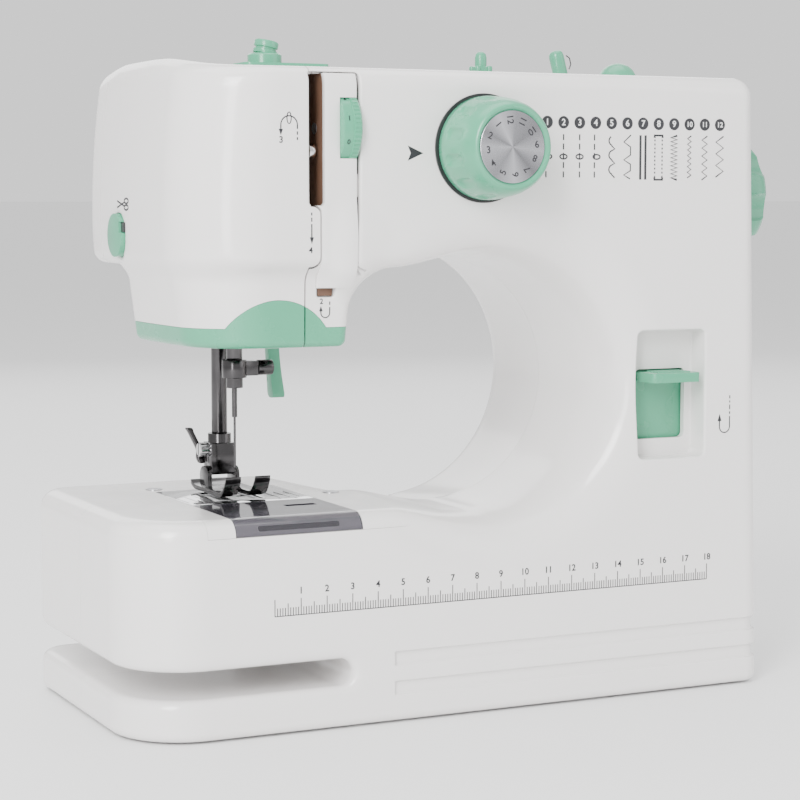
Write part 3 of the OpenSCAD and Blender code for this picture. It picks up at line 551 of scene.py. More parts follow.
def makeCasing():
    c = casing
    body = remesh(roughBlock("casing", True), c["voxel"] * (1))
    relaxOnto(body, casingForm, 8, 1)
    subdivideNear(body, 3.0)
    relaxOnto(body, casingForm, 5, 1)
    subdivideNear(body, 1.7)
    relaxOnto(body, casingForm, 7, 4)
    hollow = remesh(roughBlock("hollow", False), c["hollowVoxel"])
    relaxOnto(hollow, hollowForm, 14)
    print("casing faces", len(body.data.polygons), "hollow faces", len(hollow.data.polygons))
    return body, hollow


casingSolid, casingHollow = makeCasing()
plateBlank = casingSolid.copy()
plateBlank.data = casingSolid.data.copy()
bpy.context.scene.collection.objects.link(plateBlank)
cut(casingSolid, casingHollow)
print("casing hollowed", len(casingSolid.data.polygons))


def twin(obj, name):
    copy = obj.copy()
    copy.data = obj.data.copy()
    copy.name = name
    bpy.context.scene.collection.objects.link(copy)
    return copy


def turned(name, base, aim, stages, sides=64, soft=0.0, segments=2):
    bpy.ops.object.select_all(action="DESELECT")
    bpy.ops.mesh.primitive_circle_add(vertices=sides, radius=stages[0][0] * mm, fill_type="NGON")
    obj = bpy.context.object
    obj.name = name
    bpy.ops.object.mode_set(mode="EDIT")
    bpy.ops.mesh.select_all(action="SELECT")
    bpy.ops.transform.translate(value=(0, 0, stages[0][1] * mm))
    for (lastR, lastH), (r, h) in zip(stages, stages[1:]):
        bpy.ops.mesh.extrude_region_move(TRANSFORM_OT_translate={"value": (0, 0, (h - lastH) * mm)})
        bpy.ops.transform.resize(value=(r / lastR, r / lastR, 1), center_override=(0, 0, 0))
    bpy.ops.mesh.select_all(action="SELECT")
    bpy.ops.mesh.normals_make_consistent(inside=False)
    bpy.ops.object.mode_set(mode="OBJECT")
    obj.rotation_euler = Vector(aim).to_track_quat("Z", "Y").to_euler()
    obj.location = place(*base)
    settle(obj)
    if soft:
        softenAll(obj, soft, segments, 28)
    return obj


def ringOf(tool, count, center, axis, start=0.0):
    copies = [tool]
    for i in range(1, count):
        copies.append(twin(tool, tool.name))
    for i, copy in enumerate(copies):
        turn = turnBy(start + 360 * i / count, axis)
        middle = Matrix.Translation(place(*center))
        copy.data.transform(middle @ turn @ middle.inverted())
    return fuse(tool.name, copies)


def refine(node, paint, body, slot, soft=0.25, segments=2, angle=35):
    source = frame["nodes"][node]
    obj = source.copy()
    obj.data = source.data.copy()
    obj.name = node + "Finished"
    obj.parent = None
    obj.matrix_world = Matrix.Identity(4)
    bpy.context.scene.collection.objects.link(obj)
    only(obj)
    bpy.ops.object.mode_set(mode="EDIT")
    bpy.ops.mesh.select_all(action="SELECT")
    bpy.ops.mesh.remove_doubles(threshold=0.000002)
    bpy.ops.mesh.dissolve_limited(angle_limit=math.radians(1.2))
    bpy.ops.object.mode_set(mode="OBJECT")
    softenAll(obj, soft, segments, angle)
    smooth(obj, 38)
    return finish(obj, paint, body, slot, node)


casingCuts = {
    "coverX": 66.3, "coverY": 96, "gap": 0.6, "tabX": 69.9, "tabLow": 165.5, "tabHigh": 186.6,
    "bandTop": 144, "archX": 56.6, "archZ": 132.3, "archR": 21.6, "seam": 60, "seamGap": 0.12,
    "windowLow": (205, 97.6), "windowHigh": (227.3, 124.5), "dial": (134, 207.5, 5.0),
    "wheel": (52, 190.5, 9.0), "lifterSlot": ((81.2, 69, 144), (89.0, 110, 173)),
    "socketsY": (30, 50), "socketZ": 48, "socketR": 5.55,
    "rocker": ((246, 75.9, 41.9), (270, 92.1, 54.1)),
    "spoolHole": ((164.4, 60, 225), (164.4, 60, 245), 2.3),
    "winderHole": ((205.6, 60, 219), (201.2, 60, 240), 3.2),
    "hatch": ((96, 12, -5), (244, 108, 4.5)),                       # opening for the bottom plate
    "plateSeat": ((27.2, -9, 71.9), (106.8, 111.7, 90)), "works": ((38.5, 12, 66), (85.5, 84.4, 79)),
}


def coverZone(grow):
    c = casingCuts
    zone = block("zone", (-9, -9, 120), (c["coverX"] + grow, c["coverY"] + grow, 260))
    tab = block("tab", (c["coverX"] - 5, -9, c["tabLow"] - grow),
                (c["tabX"] + grow, 14, c["tabHigh"] + grow))
    softEdges(tab, 3.0, "Y", lambda p: p.x > c["tabX"] - 1)
    return cut(zone, tab, "UNION")


def softEdges(obj, width, axis, chosen, segments=6):
    only(obj)
    bpy.ops.object.mode_set(mode="EDIT")
    bpy.ops.mesh.select_mode(type="EDGE")
    bpy.ops.mesh.select_all(action="DESELECT")
    bpy.ops.object.mode_set(mode="OBJECT")
    index = "XYZ".index(axis)
    for edge in obj.data.edges:
        a, b = [obj.data.vertices[i].co for i in edge.vertices]
        along = (a - b).normalized()
        edge.select = abs(along[index]) > 0.99 and chosen(((a + b) / 2 - origin) / mm)
    bpy.ops.object.mode_set(mode="EDIT")
    bpy.ops.mesh.bevel(offset=width * mm, segments=segments, affect="EDGES")
    bpy.ops.object.mode_set(mode="OBJECT")
    return obj


def bandZone(grow):
    c = casingCuts
    zone = block("band", (-9, -9, 120), (100, 130, c["bandTop"] + grow))
    arch = rod("arch", (c["archX"], -9, c["archZ"]), (c["archX"], 30, c["archZ"]), c["archR"] + grow, 96)
    return cut(zone, arch, "UNION")


def innerSkin(name, thick, y1):
    top = casing["armTop"] - thick
    skin = block(name, (20, thick, 60), (112, y1, top))
    return softEdges(skin, casing["edgeR"] - thick, "X", lambda p: p.y < 10 and p.z > top - 1, 10)


def splitCasing(body):
    c = casingCuts
    low, high = c["windowLow"], c["windowHigh"]
    tools = [softEdges(block("window", (low[0], 5, low[1]), (high[0], 20, high[1])), 2.0, "Y",
                       lambda p: True)]
    x, z, r = c["dial"]
    tools.append(rod("bore", (x, -9, z), (x, 20, z), r))
    y, z, r = c["wheel"]
    tools.append(rod("bore", (230, y, z), (270, y, z), r))
    tools.append(block("lift", *c["lifterSlot"]))
    for y in c["socketsY"]:
        tools.append(rod("bore", (246, y, c["socketZ"]), (270, y, c["socketZ"]), c["socketR"]))
    tools.append(block("rocker", *c["rocker"]))
    tools.append(rod("bore", *c["spoolHole"]))
    tools.append(rod("bore", *c["winderHole"]))
    tools.append(softEdges(block("hatch", *c["hatch"]), 6, "Z", lambda p: True))
    seat = block("plateSeat", *c["plateSeat"])
    cut(seat, innerSkin("skin", 1.27, 130))
    cut(seat, block("works", *c["works"]), "UNION")
    tools.append(seat)
    cut(body, fuse("openings", tools))
    face = twin(body, "faceCover")
    cut(face, coverZone(0), "INTERSECT")
    cut(body, coverZone(c["gap"]))
    leftBand = twin(face, "bandLeft")
    cut(leftBand, bandZone(0), "INTERSECT")
    cut(face, bandZone(c["seamGap"]))
    rear = twin(body, "rearShell")
    cut(rear, block("half", (-9, -9, -9), (300, c["seam"] + c["seamGap"], 300)))
    cut(body, block("half", (-9, c["seam"] - c["seamGap"], -9), (300, 200, 300)))
    rightBand = twin(body, "bandRight")
    side = block("side", (60, -9, 100), (100, c["seam"], 170))
    cut(rightBand, cut(bandZone(0), side, "INTERSECT", True), "INTERSECT")
    cut(body, cut(bandZone(c["seamGap"]), side, "INTERSECT"))
    body.name = "frontShell"
    return body, rear, face, leftBand, rightBand


setCamera()
setStudio()
shells = splitCasing(casingSolid)
for shell, paint, slot, node in zip(shells, ("white", "white", "white", "mint", "mint"),
                                    ("white_plastic",) * 3 + ("mint_plastic",) * 2,
                                    ("front_shell", "rear_shell", "face_cover", "neck_trims",
                                     "neck_trims")):
    smooth(shell, 45)
    finish(shell, paint, "root", slot, node)
print("casing split", [len(shell.data.polygons) for shell in shells])


def surfaceY(x, z):                                  # depth at which the casing's front is met
    y = np.full(len(x), -2.0)
    found = np.full(len(x), False)
    last = bodyForm(np.stack([x, y, z], 1))
    for step in range(100):
        ahead = y + 0.25
        here = bodyForm(np.stack([x, ahead, z], 1))
        crossing = (~found) & (here <= 0)
        y = np.where(crossing, y + 0.25 * last / np.maximum(last - here, 1e-6), np.where(found, y, ahead))
        found |= crossing
        last = here
    return y


def drape(obj, lift):                                # lay a flat mark on the casing's front
    points = readPoints(obj.data.vertices)
    points[:, 1] = points[:, 1] + surfaceY(points[:, 0], points[:, 2]) - lift
    return writePoints(obj, points)


def grid(obj, cuts, axis):
    only(obj)
    bpy.ops.object.mode_set(mode="EDIT")
    bpy.ops.mesh.select_all(action="SELECT")
    low = min(v.co["XYZ".index(axis)] for v in obj.data.vertices)
    high = max(v.co["XYZ".index(axis)] for v in obj.data.vertices)
    normal = [1.0 if a == axis else 0.0 for a in "XYZ"]
    for i in range(1, cuts):
        bpy.ops.mesh.select_all(action="SELECT")
        spot = [0.0, 0.0, 0.0]
        spot["XYZ".index(axis)] = low + (high - low) * i / cuts
        bpy.ops.mesh.bisect(plane_co=spot, plane_no=normal)
    bpy.ops.object.mode_set(mode="OBJECT")
    return obj


def shape(obj, rule):
    for vertex in obj.data.vertices:
        point = (vertex.co - origin) / mm
        vertex.co = origin + Vector(rule(point)) * mm
    obj.data.update()
    return obj


guideStrip = {
    "left": 71.7, "right": 83.8, "lowLeft": 70.6, "lowRight": 83.3, "bottom": 158, "shoulder": 187,
    "top": 233, "thick": 2.3, "window": ((77.4, 203.4), (84.3, 224.6)),
}


def makeGuideStrip():
    c = guideStrip
    strip = grid(block("guideStrip", (0, 0, c["bottom"]), (1, c["thick"], c["top"])), 50, "Z")
    grid(strip, 6, "X")

    def bend(p):
        t = float(ease(c["shoulder"] - 20, c["shoulder"] + 4, np.array(p.z)))
        on = 1 - float(ease(162, 169, np.array(p.z)))        # below the slot the strip lies on the neck
        y = -1.0 * on if p.y < 0.1 else p.y * (1 - on) + 0.1 * on
        left = c["lowLeft"] + (c["left"] - c["lowLeft"]) * (1 if p.z > c["shoulder"] else 0)
        right = c["lowRight"] + (c["right"] - c["lowRight"]) * t
        return (left + (right - left) * p.x, y, p.z)
    shape(strip, bend)
    drape(strip, 0.15)
    cut(strip, block("rib", (72.2, c["thick"] - 0.3, 190), (95, c["thick"] + 1.5, 198)), "UNION")
    low, high = c["window"]
    cut(strip, block("window", (low[0], -5, low[1]), (high[0] + 3, 2.6, high[1])))
    softenAll(strip, 0.35, 2, 40)
    smooth(strip, 40)
    finish(strip, "white", "root", "white_plastic", "guide_strip")
    # thin dark brown sheets on both side walls of the thread slot and in the pocket under the guide strip:
    # painted shade where these hollows fall into shadow, though the slot is white plastic
    shadeSheets = block("slotShadeSheets", (71.75, 2.3, 186), (72.15, 22, 233), 0.1, 1)
    wall = block("wall", (64.9, 2.4, 186.8), (65.5, 20, 232), 0.1, 1)
    low = block("low", (71.6, 6.6, 155.2), (77.2, 7.2, 164), 0.1, 1)
    shadeSheets = fuse("slotShadeSheets", [shadeSheets, wall, low])
    finish(shadeSheets, "paintedShade", "root", "white_plastic")


patternDial = {
    "center": (134, 207.5), "flutes": 12, "fluteR": 3.6, "fluteAt": 20.7,
    "stages": [(18.3, 0.9), (18.6, 1.6), (18.6, 5), (18.1, 11), (17.4, 16), (16.4, 20), (15.5, 22),
               (14.9, 22.8), (14.3, 23.1), (13.6, 22.8), (13.0, 21.8), (0.6, 21.8)],    # radius, height
    # the dial's shaft into the casing, then a black disc in the gap between casing and knob: the disc is
    # painted shade
    "shaftAndShadeDisc": [(4.6, -12), (4.6, 0.1), (19.6, 0.12), (19.6, 0.9), (4, 0.92)],
    "face": [(12.9, 21.82), (12.9, 22.1), (12.7, 22.25), (0.3, 22.25)],
    "numberR": 9.7, "numberSize": 3.5, "numberTurn": 97, "numberY": -22.27,
}


def makePatternDial():
    c = patternDial
    x, z = c["center"]
    knob = turned("patternKnob", (x, 0, z), (0, -1, 0), c["stages"], 96)
    flute = rod("flute", (x, -5.5, z + c["fluteAt"] + 0.3), (x, -17.5, z + c["fluteAt"] - 0.7),
                c["fluteR"], 24)
    softenAll(flute, 3.0, 5, 40)
    cut(knob, ringOf(flute, c["flutes"], (x, 0, z), "Y", 15))
    softenAll(knob, 0.25, 2, 32)
    smooth(knob, 32)
    finish(knob, "mint", "pattern_dial", "mint_plastic", "pattern_dial")
    # black shaft and disc; the disc stands in for the shadow in the recess round the dial's base
    shaftAndShadeDisc = turned("dialShaftAndShadeDisc", (x, 0, z), (0, -1, 0), c["shaftAndShadeDisc"], 96)
    finish(shaftAndShadeDisc, "black", "pattern_dial", "black_plastic")
    face = turned("dialFace", (x, 0, z), (0, -1, 0), c["face"], 96)
    smooth(face, 30)
    spun = spunMetal("spunAluminium", (0.62, 0.62, 0.66), place(x, 0, z), "Y")
    finish(face, spun, "pattern_dial", "spun_aluminium", "dial_plate")
    marks = []
    for n in range(1, 13):
        angle = math.radians(c["numberTurn"] + 30 * n)
        spot = (x + c["numberR"] * math.cos(angle), z + c["numberR"] * math.sin(angle))
        marks.append(glyph(str(n), c["numberSize"], spot, math.degrees(angle) - 180))
    numbers = fuse("dialNumbers", marks)
    numbers.data.transform(Matrix.Translation((0, c["numberY"] * mm, 0)))
    finish(numbers, "ink", "pattern_dial", "black_plastic")


def glyph(text, size, spot, turn=0.0, thick=0.03):
    bpy.ops.object.select_all(action="DESELECT")
    bpy.ops.object.text_add(location=(0, 0, 0))
    obj = bpy.context.object
    obj.data.body = text
    obj.data.size = size * mm
    obj.data.align_x, obj.data.align_y = "CENTER", "CENTER"
    obj.data.extrude = thick * mm
    obj.data.offset = size * 0.018 * mm
    obj.data.resolution_u = 4
    only(obj)
    bpy.ops.object.convert(target="MESH")
    obj = bpy.context.object
    middle = Matrix.Translation(place(spot[0], 0, spot[1]))
    obj.data.transform(middle @ turnBy(-turn, "Y") @ turnBy(90, "X"))
    return obj


handwheel = {
    "center": (52, 190.5), "inner": 255.2, "outer": 280, "lobes": 8, "scallopR": 6.5, "scallopAt": 28.9,
}


def makeHandwheel():
    c = handwheel
    y, z = c["center"]
    base = c["inner"]
    wide = c["outer"] - base
    wheel = turned("handwheelRim", (base, y, z), (1, 0, 0),
                   [(13, 0), (16, 1.0), (20.5, 2.6), (23.2, 5), (24, 8.5), (24, 17.5), (23.4, 21),
                    (21.8, 23.2), (19.0, 24.5), (16, wide), (11, wide), (9.8, wide - 1.0),
                    (8.6, wide - 1.6), (0.5, wide - 1.4)], 96)
    scallop = rod("scallop", (base - 3, y, z + c["scallopAt"]),
                  (base + wide + 3, y, z + c["scallopAt"] - 3.5), c["scallopR"], 40)
    cut(wheel, ringOf(scallop, c["lobes"], (0, y, z), "X", 11))
    cut(wheel, rod("bore", (base - 2, y, z), (base + 18, y, z), 4.0, 48))
    softenAll(wheel, 0.9, 4, 30)
    smooth(wheel, 40)
    finish(wheel, "mint", "main_shaft", "mint_plastic", "handwheel")


tensionDial = {"center": (9.1, 214), "left": 77.5, "right": 84.3, "r": 13.9, "knurls": 56}


def makeTensionDial():
    c = tensionDial
    y, z = c["center"]
    wide = c["right"] - c["left"]
    drum = turned("tensionDrum", (c["left"], y, z), (1, 0, 0),
                  [(12.6, 0), (13.2, 0.3), (13.3, 3.6), (c["r"], 3.9), (c["r"], wide - 0.8),
                   (13.2, wide), (5, wide), (4.4, wide - 0.6), (0.5, wide - 0.6)], 112)
    notch = rod("notch", (c["left"] + 3.9, y, z + c["r"] + 0.15), (c["right"] + 1, y, z + c["r"] + 0.15),
                0.42, 8)
    cut(drum, ringOf(notch, c["knurls"], (0, y, z), "X"))
    cut(drum, rod("bore", (c["left"] - 2, y, z), (c["right"] + 2, y, z), 1.55, 32))
    smooth(drum, 30)
    finish(drum, "mint", "tension_dial", "mint_plastic", "tension_dial")
    marks = []
    for n in range(10):
        mark = glyph(str(n), 2.5, (0, 0), 0, 0.04)
        mark.data.transform(Matrix.Translation(-place(0, 0, 0)))
        mark.data.transform(Matrix.Translation((0, -13.33 * mm, 0)))
        turn = turnBy(22 - 36 * n, "X")
        mark.data.transform(Matrix.Translation(place(c["left"] + 1.9, y, z)) @ turn)
        marks.append(mark)
    finish(fuse("tensionNumbers", marks), "ink", "tension_dial", "black_plastic")


reverseLever = {"apron": ((203.4, 13.0, 96.2), (228.1, 15, 138.6)),
                "shelf": ((205.6, -2.5, 120), (226.9, 13.4, 123.6))}


def makeReverseLever():
    c = reverseLever
    lever = softEdges(block("reversePaddle", *c["apron"]), 2.5, "Y", lambda p: True)
    shelf = block("shelf", *c["shelf"])
    softEdges(shelf, 2.0, "Z", lambda p: p.y < 0)
    ridges = []
    for i in range(4):
        ridges.append(rod("ridge", (209, 0.4 + 2.4 * i, 123.6), (223.5, 0.4 + 2.4 * i, 123.6), 0.45, 12))
    cut(shelf, fuse("ridges", ridges), "UNION")
    cut(lever, shelf, "UNION")
    softenAll(lever, 0.45, 3, 40)
    smooth(lever, 40)
    finish(lever, "mint", "reverse_lever", "mint_plastic", "reverse_lever")


presserLifter = {"x": (82.7, 87.5), "pivot": (80, 176), "tip": 113}


def makePresserLifter():
    c = presserLifter
    finger = grid(block("lifterFinger", (c["x"][0], 77, c["tip"]), (c["x"][1], 83, 170)), 22, "Z")

    def bend(p):
        down = max(0.0, (150 - p.z) / 39)
        bow = 1.6 * math.sin(math.pi * min(1.0, down)) + 3.4 * (1 - down) - 2.8 * down
        half = 3.0 * (1.25 - 0.62 * math.sin(math.pi * min(1.0, down)) - 0.1 * down)
        side = 1 if p.y > 80 else -1
        x = 85.1 + (p.x - 85.1) * (0.92 + 0.08 * down)
        return (x, 80 + side * half + bow, p.z)
    shape(finger, bend)
    hub = rod("hub", (c["x"][0], *c["pivot"]), (c["x"][1], *c["pivot"]), 4.6, 40)
    stem = block("stem", (c["x"][0] + 0.2, 77.4, 165), (c["x"][1] - 0.2, 82.6, 176))
    cut(finger, stem, "UNION")
    cut(finger, hub, "UNION")
    cut(finger, rod("bore", (80, *c["pivot"]), (90, *c["pivot"]), 1.6, 24))
    softEdges(finger, 2.3, "X", lambda p: p.z < c["tip"] + 0.5, 6)
    softenAll(finger, 0.8, 3, 50)
    smooth(finger, 50)
    finish(finger, "mint", "presser_lifter", "mint_plastic", "presser_lifter")


makeGuideStrip()
makePatternDial()
makeHandwheel()
makeTensionDial()
makeReverseLever()
makePresserLifter()
print("mint pieces made")


def lines(name, strokes, width, flat=0.3, loop=False):
    data = bpy.data.curves.new(name, "CURVE")
    data.dimensions = "3D"
    data.bevel_depth = width / 2 * mm
    data.bevel_resolution = 1
    for points in strokes:
        spline = data.splines.new("POLY")
        spline.points.add(len(points) - 1)
        for knot, (x, z) in zip(spline.points, points):
            knot.co = (*place(x, 0, z), 1)
        spline.use_cyclic_u = loop
    data.use_fill_caps = True
    obj = bpy.data.objects.new(name, data)
    bpy.context.scene.collection.objects.link(obj)
    only(obj)
    bpy.ops.object.convert(target="MESH")
    obj = bpy.context.object
    for vertex in obj.data.vertices:
        vertex.co.y = origin.y + (vertex.co.y - origin.y) * flat
    return obj


def arcPoints(center, r, start, end, steps=16, squash=1.0):
    return [(center[0] + r * math.cos(math.radians(start + (end - start) * i / steps)),
             center[1] + r * squash * math.sin(math.radians(start + (end - start) * i / steps)))
            for i in range(steps + 1)]


def oval(center, halfWide, halfTall):
    return [(center[0] + halfWide * math.cos(i * math.pi / 8),
             center[1] + halfTall * math.sin(i * math.pi / 8)) for i in range(16)]


def dashes(x, low, high, dash, gap):
    out, z = [], high
    while z > low:
        out.append([(x, z), (x, max(low, z - dash))])
        z -= dash + gap
    return out


def triangle(points, thick=0.05):
    bpy.ops.object.select_all(action="DESELECT")
    bpy.ops.mesh.primitive_circle_add(vertices=len(points), radius=1 * mm, fill_type="NGON")
    obj = bpy.context.object
    for vertex, (x, z) in zip(obj.data.vertices, points):
        vertex.co = place(x, 0, z)
    obj.location = (0, 0, 0)
    return apply(obj, "SOLIDIFY", thickness=thick * mm, offset=0)


ruler = {
    "start": 52.0, "step": 10, "count": 18, "base": 43.2,            # one centimetre a step
    "tall": 6.0, "half": 4.4, "short": 2.9, "digit": 3.4,
}
chart = {
    "first": 160.4, "step": 6.83, "discs": 217.3, "discR": 2.3, "top": 213, "low": 196.5, "eye": 204.8,
}


def makeRuler():
    c = ruler
    ticks = [[(c["start"], c["base"]), (c["start"] + c["step"] * c["count"], c["base"])]]
    for i in range(c["step"] * c["count"] + 1):
        tall = c["tall"] if i % 10 == 0 else c["half"] if i % 5 == 0 else c["short"]
        ticks.append([(c["start"] + i, c["base"]), (c["start"] + i, c["base"] + tall)])
    parts = [lines("ticks", ticks, 0.36)]
    for n in range(1, c["count"] + 1):
        spot = (c["start"] + c["step"] * n, c["base"] + c["tall"] + 2.6)
        parts.append(glyph(str(n), c["digit"], spot, 0, 0.04))
    obj = drape(fuse("ruler", parts), 0.03)
    finish(obj, "ink", "root", "black_plastic")


def zigzag(x, low, high, reach, pitch):
    points, side, z = [], 1, high
    while z >= low:
        points.append((x + side * reach, z))
        side, z = -side, z - pitch / 2
    return points


def makeChart():
    c = chart
    thin, bold, discs, digits, eyes = [], [], [], [], []
    column = [c["first"] + c["step"] * i for i in range(12)]
    top, low, eye = c["top"], c["low"], c["eye"]
    for i in range(4):
        x = column[i] - (0.5 if i in (0, 3) else 0)
        thin += dashes(x, low, top, 2.2, 1.2)
        eyes.append(oval((column[i] + (0.4 if i in (0, 3) else 0), eye), 1.5, 0.85))
    x = column[4]
    wave = []
    for k in range(3):
        z = top - 1.0 - k * 5.3
        wave += arcPoints((x + 0.6, z - 1.2), 1.7, 120, 250, 10)
        wave += [(x + 0.2, z - 3.2), (x + 1.4, z - 4.2)]
    thin.append(wave)
    x = column[5]
    thin.append([(x + 1.5, top), (x - 1.5, top - 2.6), (x + 1.4, top - 4.4), (x + 1.4, top - 7.4),
                 (x - 1.5, top - 9.2), (x + 1.4, top - 10.8), (x + 1.4, top - 13.2),
                 (x - 1.5, top - 14.8), (x + 1.2, top - 16.2)])
    x = column[6]
    bold += [[(x - 1.1, low), (x - 1.1, top)], [(x + 1.1, low), (x + 1.1, top)]]
    x = column[7]
    thin += dashes(x - 1.6, low, top, 0.7, 0.8) + dashes(x + 1.6, low, top, 0.7, 0.8)
    for z, inward in ((top, -0.9), (low, 0.9)):
        bold.append([(x - 1.7, z + inward), (x - 1.7, z), (x + 1.7, z), (x + 1.7, z + inward)])
    bold.append(zigzag(column[8], low, top, 1.4, 1.5))
    for i, reach, pitch in ((9, 0.8, 2.1), (10, 1.2, 3.0), (11, 1.7, 4.4)):
        thin.append(zigzag(column[i], low, top, reach, pitch))
    for i, x in enumerate(column):
        disc = turned("disc", (x, 0, c["discs"]), (0, -1, 0),
                      [(c["discR"], -0.05), (c["discR"], 0.02), (0.2, 0.03)], 40)
        discs.append(disc)
        digits.append(glyph(str(i + 1), 3.3 if i < 9 else 2.7, (x, c["discs"] - 0.05), 0, 0.02))
    parts = [lines("thin", thin, 0.58), lines("bold", bold, 1.0, 0.1),
             lines("eyes", eyes, 0.62, 0.3, True)] + discs
    obj = drape(fuse("stitchChart", parts), 0.03)
    finish(obj, "ink", "root", "black_plastic")
    obj = drape(fuse("chartNumbers", digits), 0.08)
    finish(obj, "inkWhite", "root", "white_plastic")


def makeIcons():
    parts = [triangle([(103.7, 208.2), (109.9, 205.5), (103.7, 202.8), (104.9, 205.5)])]
    parts.append(lines("loop", [arcPoints((58.2, 214.8), 3.1, 0, 180, 20), [(55.1, 214.8), (55.1, 212.6)],
                                [(61.3, 214.8), (61.3, 213.4)], [(61.3, 212.6), (61.3, 211.4)],
                                [(61.3, 210.6), (61.3, 209.6)]], 0.5))
    parts.append(lines("eye", [oval((58.2, 217.2), 0.8, 2.0)], 0.42, 0.3, True))
    parts.append(triangle([(54.3, 213.4), (55.9, 213.4), (55.1, 211.2)]))
    parts.append(glyph("3", 3.2, (55.2, 209.6), 0, 0.04))
    parts.append(lines("down", [[(66.6, 184.6), (66.6, 183.6)], [(66.6, 182.8), (66.6, 181.4)],
                                [(66.6, 180.6), (66.6, 174.6)]], 0.5))
    parts.append(triangle([(65.8, 176), (67.4, 176), (66.6, 173.6)]))
    parts.append(glyph("4", 3.0, (66.2, 171.4), 0, 0.04))
    parts.append(lines("turn", [arcPoints((74.4, 149.2), 1.7, 180, 360, 14), [(76.1, 149.2), (76.1, 151.2)],
                                [(76.1, 152.0), (76.1, 153.2)], [(72.7, 149.2), (72.7, 150.6)]], 0.46))
    parts.append(triangle([(72.0, 149.8), (73.4, 149.8), (72.7, 151.6)]))
    parts.append(glyph("2", 2.7, (72.9, 153.2), 0, 0.04))
    parts.append(lines("back", [arcPoints((239.4, 102.0), 2.3, 180, 360, 16),
                                [(237.1, 102.0), (237.1, 105.0)],
                                [(241.7, 102.0), (241.7, 106.0)], [(241.7, 106.8), (241.7, 107.8)],
                                [(241.7, 108.6), (241.7, 110.4)], [(241.7, 111.2), (241.7, 112.0)],
                                [(241.7, 112.8), (241.7, 114.0)]], 0.5))
    parts.append(triangle([(236.2, 104.2), (238.0, 104.2), (237.1, 107.0)]))
    obj = drape(fuse("guideMarks", parts), 0.03)
    finish(obj, "ink", "root", "black_plastic")


scissorsMark = {"center": (68, 187.4)}


def makeScissors():
    y, z = scissorsMark["center"]
    parts = [lines("blades", [[(y - 6.2, z - 1.2), (y + 1.9, z + 0.7)],
                              [(y - 6.2, z + 1.2), (y + 1.9, z - 0.7)]], 0.7),
             lines("rings", [oval((y + 4.1, z + side * 1.2), 2.3, 0.9) for side in (-1, 1)], 0.75, 0.3,
                   True)]
    obj = fuse("cutterMark", parts)
    points = readPoints(obj.data.vertices)
    raised = points[:, 1].copy()
    sideY = 2 * y - points[:, 0]
    x = np.full(len(points), 15.0)
    for step in range(60):                                   # walk in from the left until the side is met
        x = x + np.clip(bodyForm(np.stack([x, sideY, points[:, 2]], 1)), 0, 1)
    moved = np.stack([x - 0.04 + raised, sideY, points[:, 2]], 1)
    finish(writePoints(obj, moved), "ink", "root", "black_plastic")


def glass(name, color, rough, density):
    paint, nodes, links, shader, coord = newPaint(name, color, rough)
    shader.inputs["Transmission Weight"].default_value = density
    shader.inputs["IOR"].default_value = 1.49
    soft = noise(nodes, links, coord, 40, 3)
    links.new(ramp(nodes, links, soft, [c * 0.9 for c in color], color), shader.inputs["Base Color"])
    fine = noise(nodes, links, coord, 900, 2)
    bump(nodes, links, shader, fine, 0.03, 0.00003)
    return paint


paints["smoke"] = glass("smokedClear", (0.20, 0.19, 0.225), 0.06, 0.85)
paints["clear"] = glass("clearPlastic", (0.85, 0.88, 0.9), 0.08, 0.9)
paints["lens"] = glass("lampLens", (0.95, 0.93, 0.85), 0.25, 0.6)


bed = {
    "low": (27.3, -9, 72), "high": (106.7, 111.6, 90), "skin": 1.2,
    "opening": ((37.6, -9, 60), (86.2, 85.2, 90)), "seats": ((39.9, 92), (98.2, 55.9)), "seatR": 3.3,
    "coverLow": (37.8, -9, 72.2), "coverHigh": (86, 43.2, 90), "coverSkin": 1.5,
    "catch": ((46.5, 1.6, 73.4), (77.5, 2.4, 75.2)), "thumb": ((68, 27, 77.3), (80, 31, 79)),
    "needleX": 60.8, "markStep": 4, "numbers": ((1, 73.5), (2, 80)),
}


def makeBed():
    c = bed
    plate = twin(plateBlank, "bedPlate")
    cut(plate, block("keep", c["low"], c["high"]), "INTERSECT")
    cut(plate, innerSkin("skin", c["skin"], 130))
    cut(plate, block("opening", *c["opening"]))
    cut(plate, fuse("seats", [rod("seat", (x, y, 76), (x, y, 80), c["seatR"]) for x, y in c["seats"]]))
    smooth(plate, 40)
    finish(plate, "white", "root", "white_plastic", "bed_plate")
    cover = twin(plateBlank, "slideCover")
    cut(cover, block("keep", c["coverLow"], c["coverHigh"]), "INTERSECT")
    cut(cover, innerSkin("skin", c["coverSkin"], 60))
    catch = softEdges(block("coverCatch", *c["catch"]), 0.6, "Y", lambda p: True)
    softenAll(catch, 0.15, 2, 40)
    finish(catch, "black", "bobbin_cover", "black_plastic")
    cut(cover, block("recess", *c["thumb"]))
    smooth(cover, 40)
    finish(cover, "smoke", "bobbin_cover", "smoked_plastic", "bobbin_cover")
    refine("needle_plate", "chrome", "root", "chrome", 0.3, 2)
    marks = []
    for i in range(1, 4):
        for side in (-1, 1):
            x = c["needleX"] + side * (10 + c["markStep"] * i)
            marks.append(block("mark", (x - 0.15, 50, 77.98), (x + 0.15, 66, 78.03)))
    for n, x in c["numbers"]:
        mark = glyph(str(n), 2.6, (0, 0))
        mark.data.transform(Matrix.Translation(-place(0, 0, 0)))
        mark.data.transform(Matrix.Translation(place(x, 47, 78.02)) @ turnBy(-90, "X"))
        marks.append(mark)
    finish(fuse("plateMarks", marks), "ink", "root", "black_plastic")


presserFoot = {"x": (51.95, 69.65), "toe": 45, "heel": 84, "low": 79, "thick": 1.7}


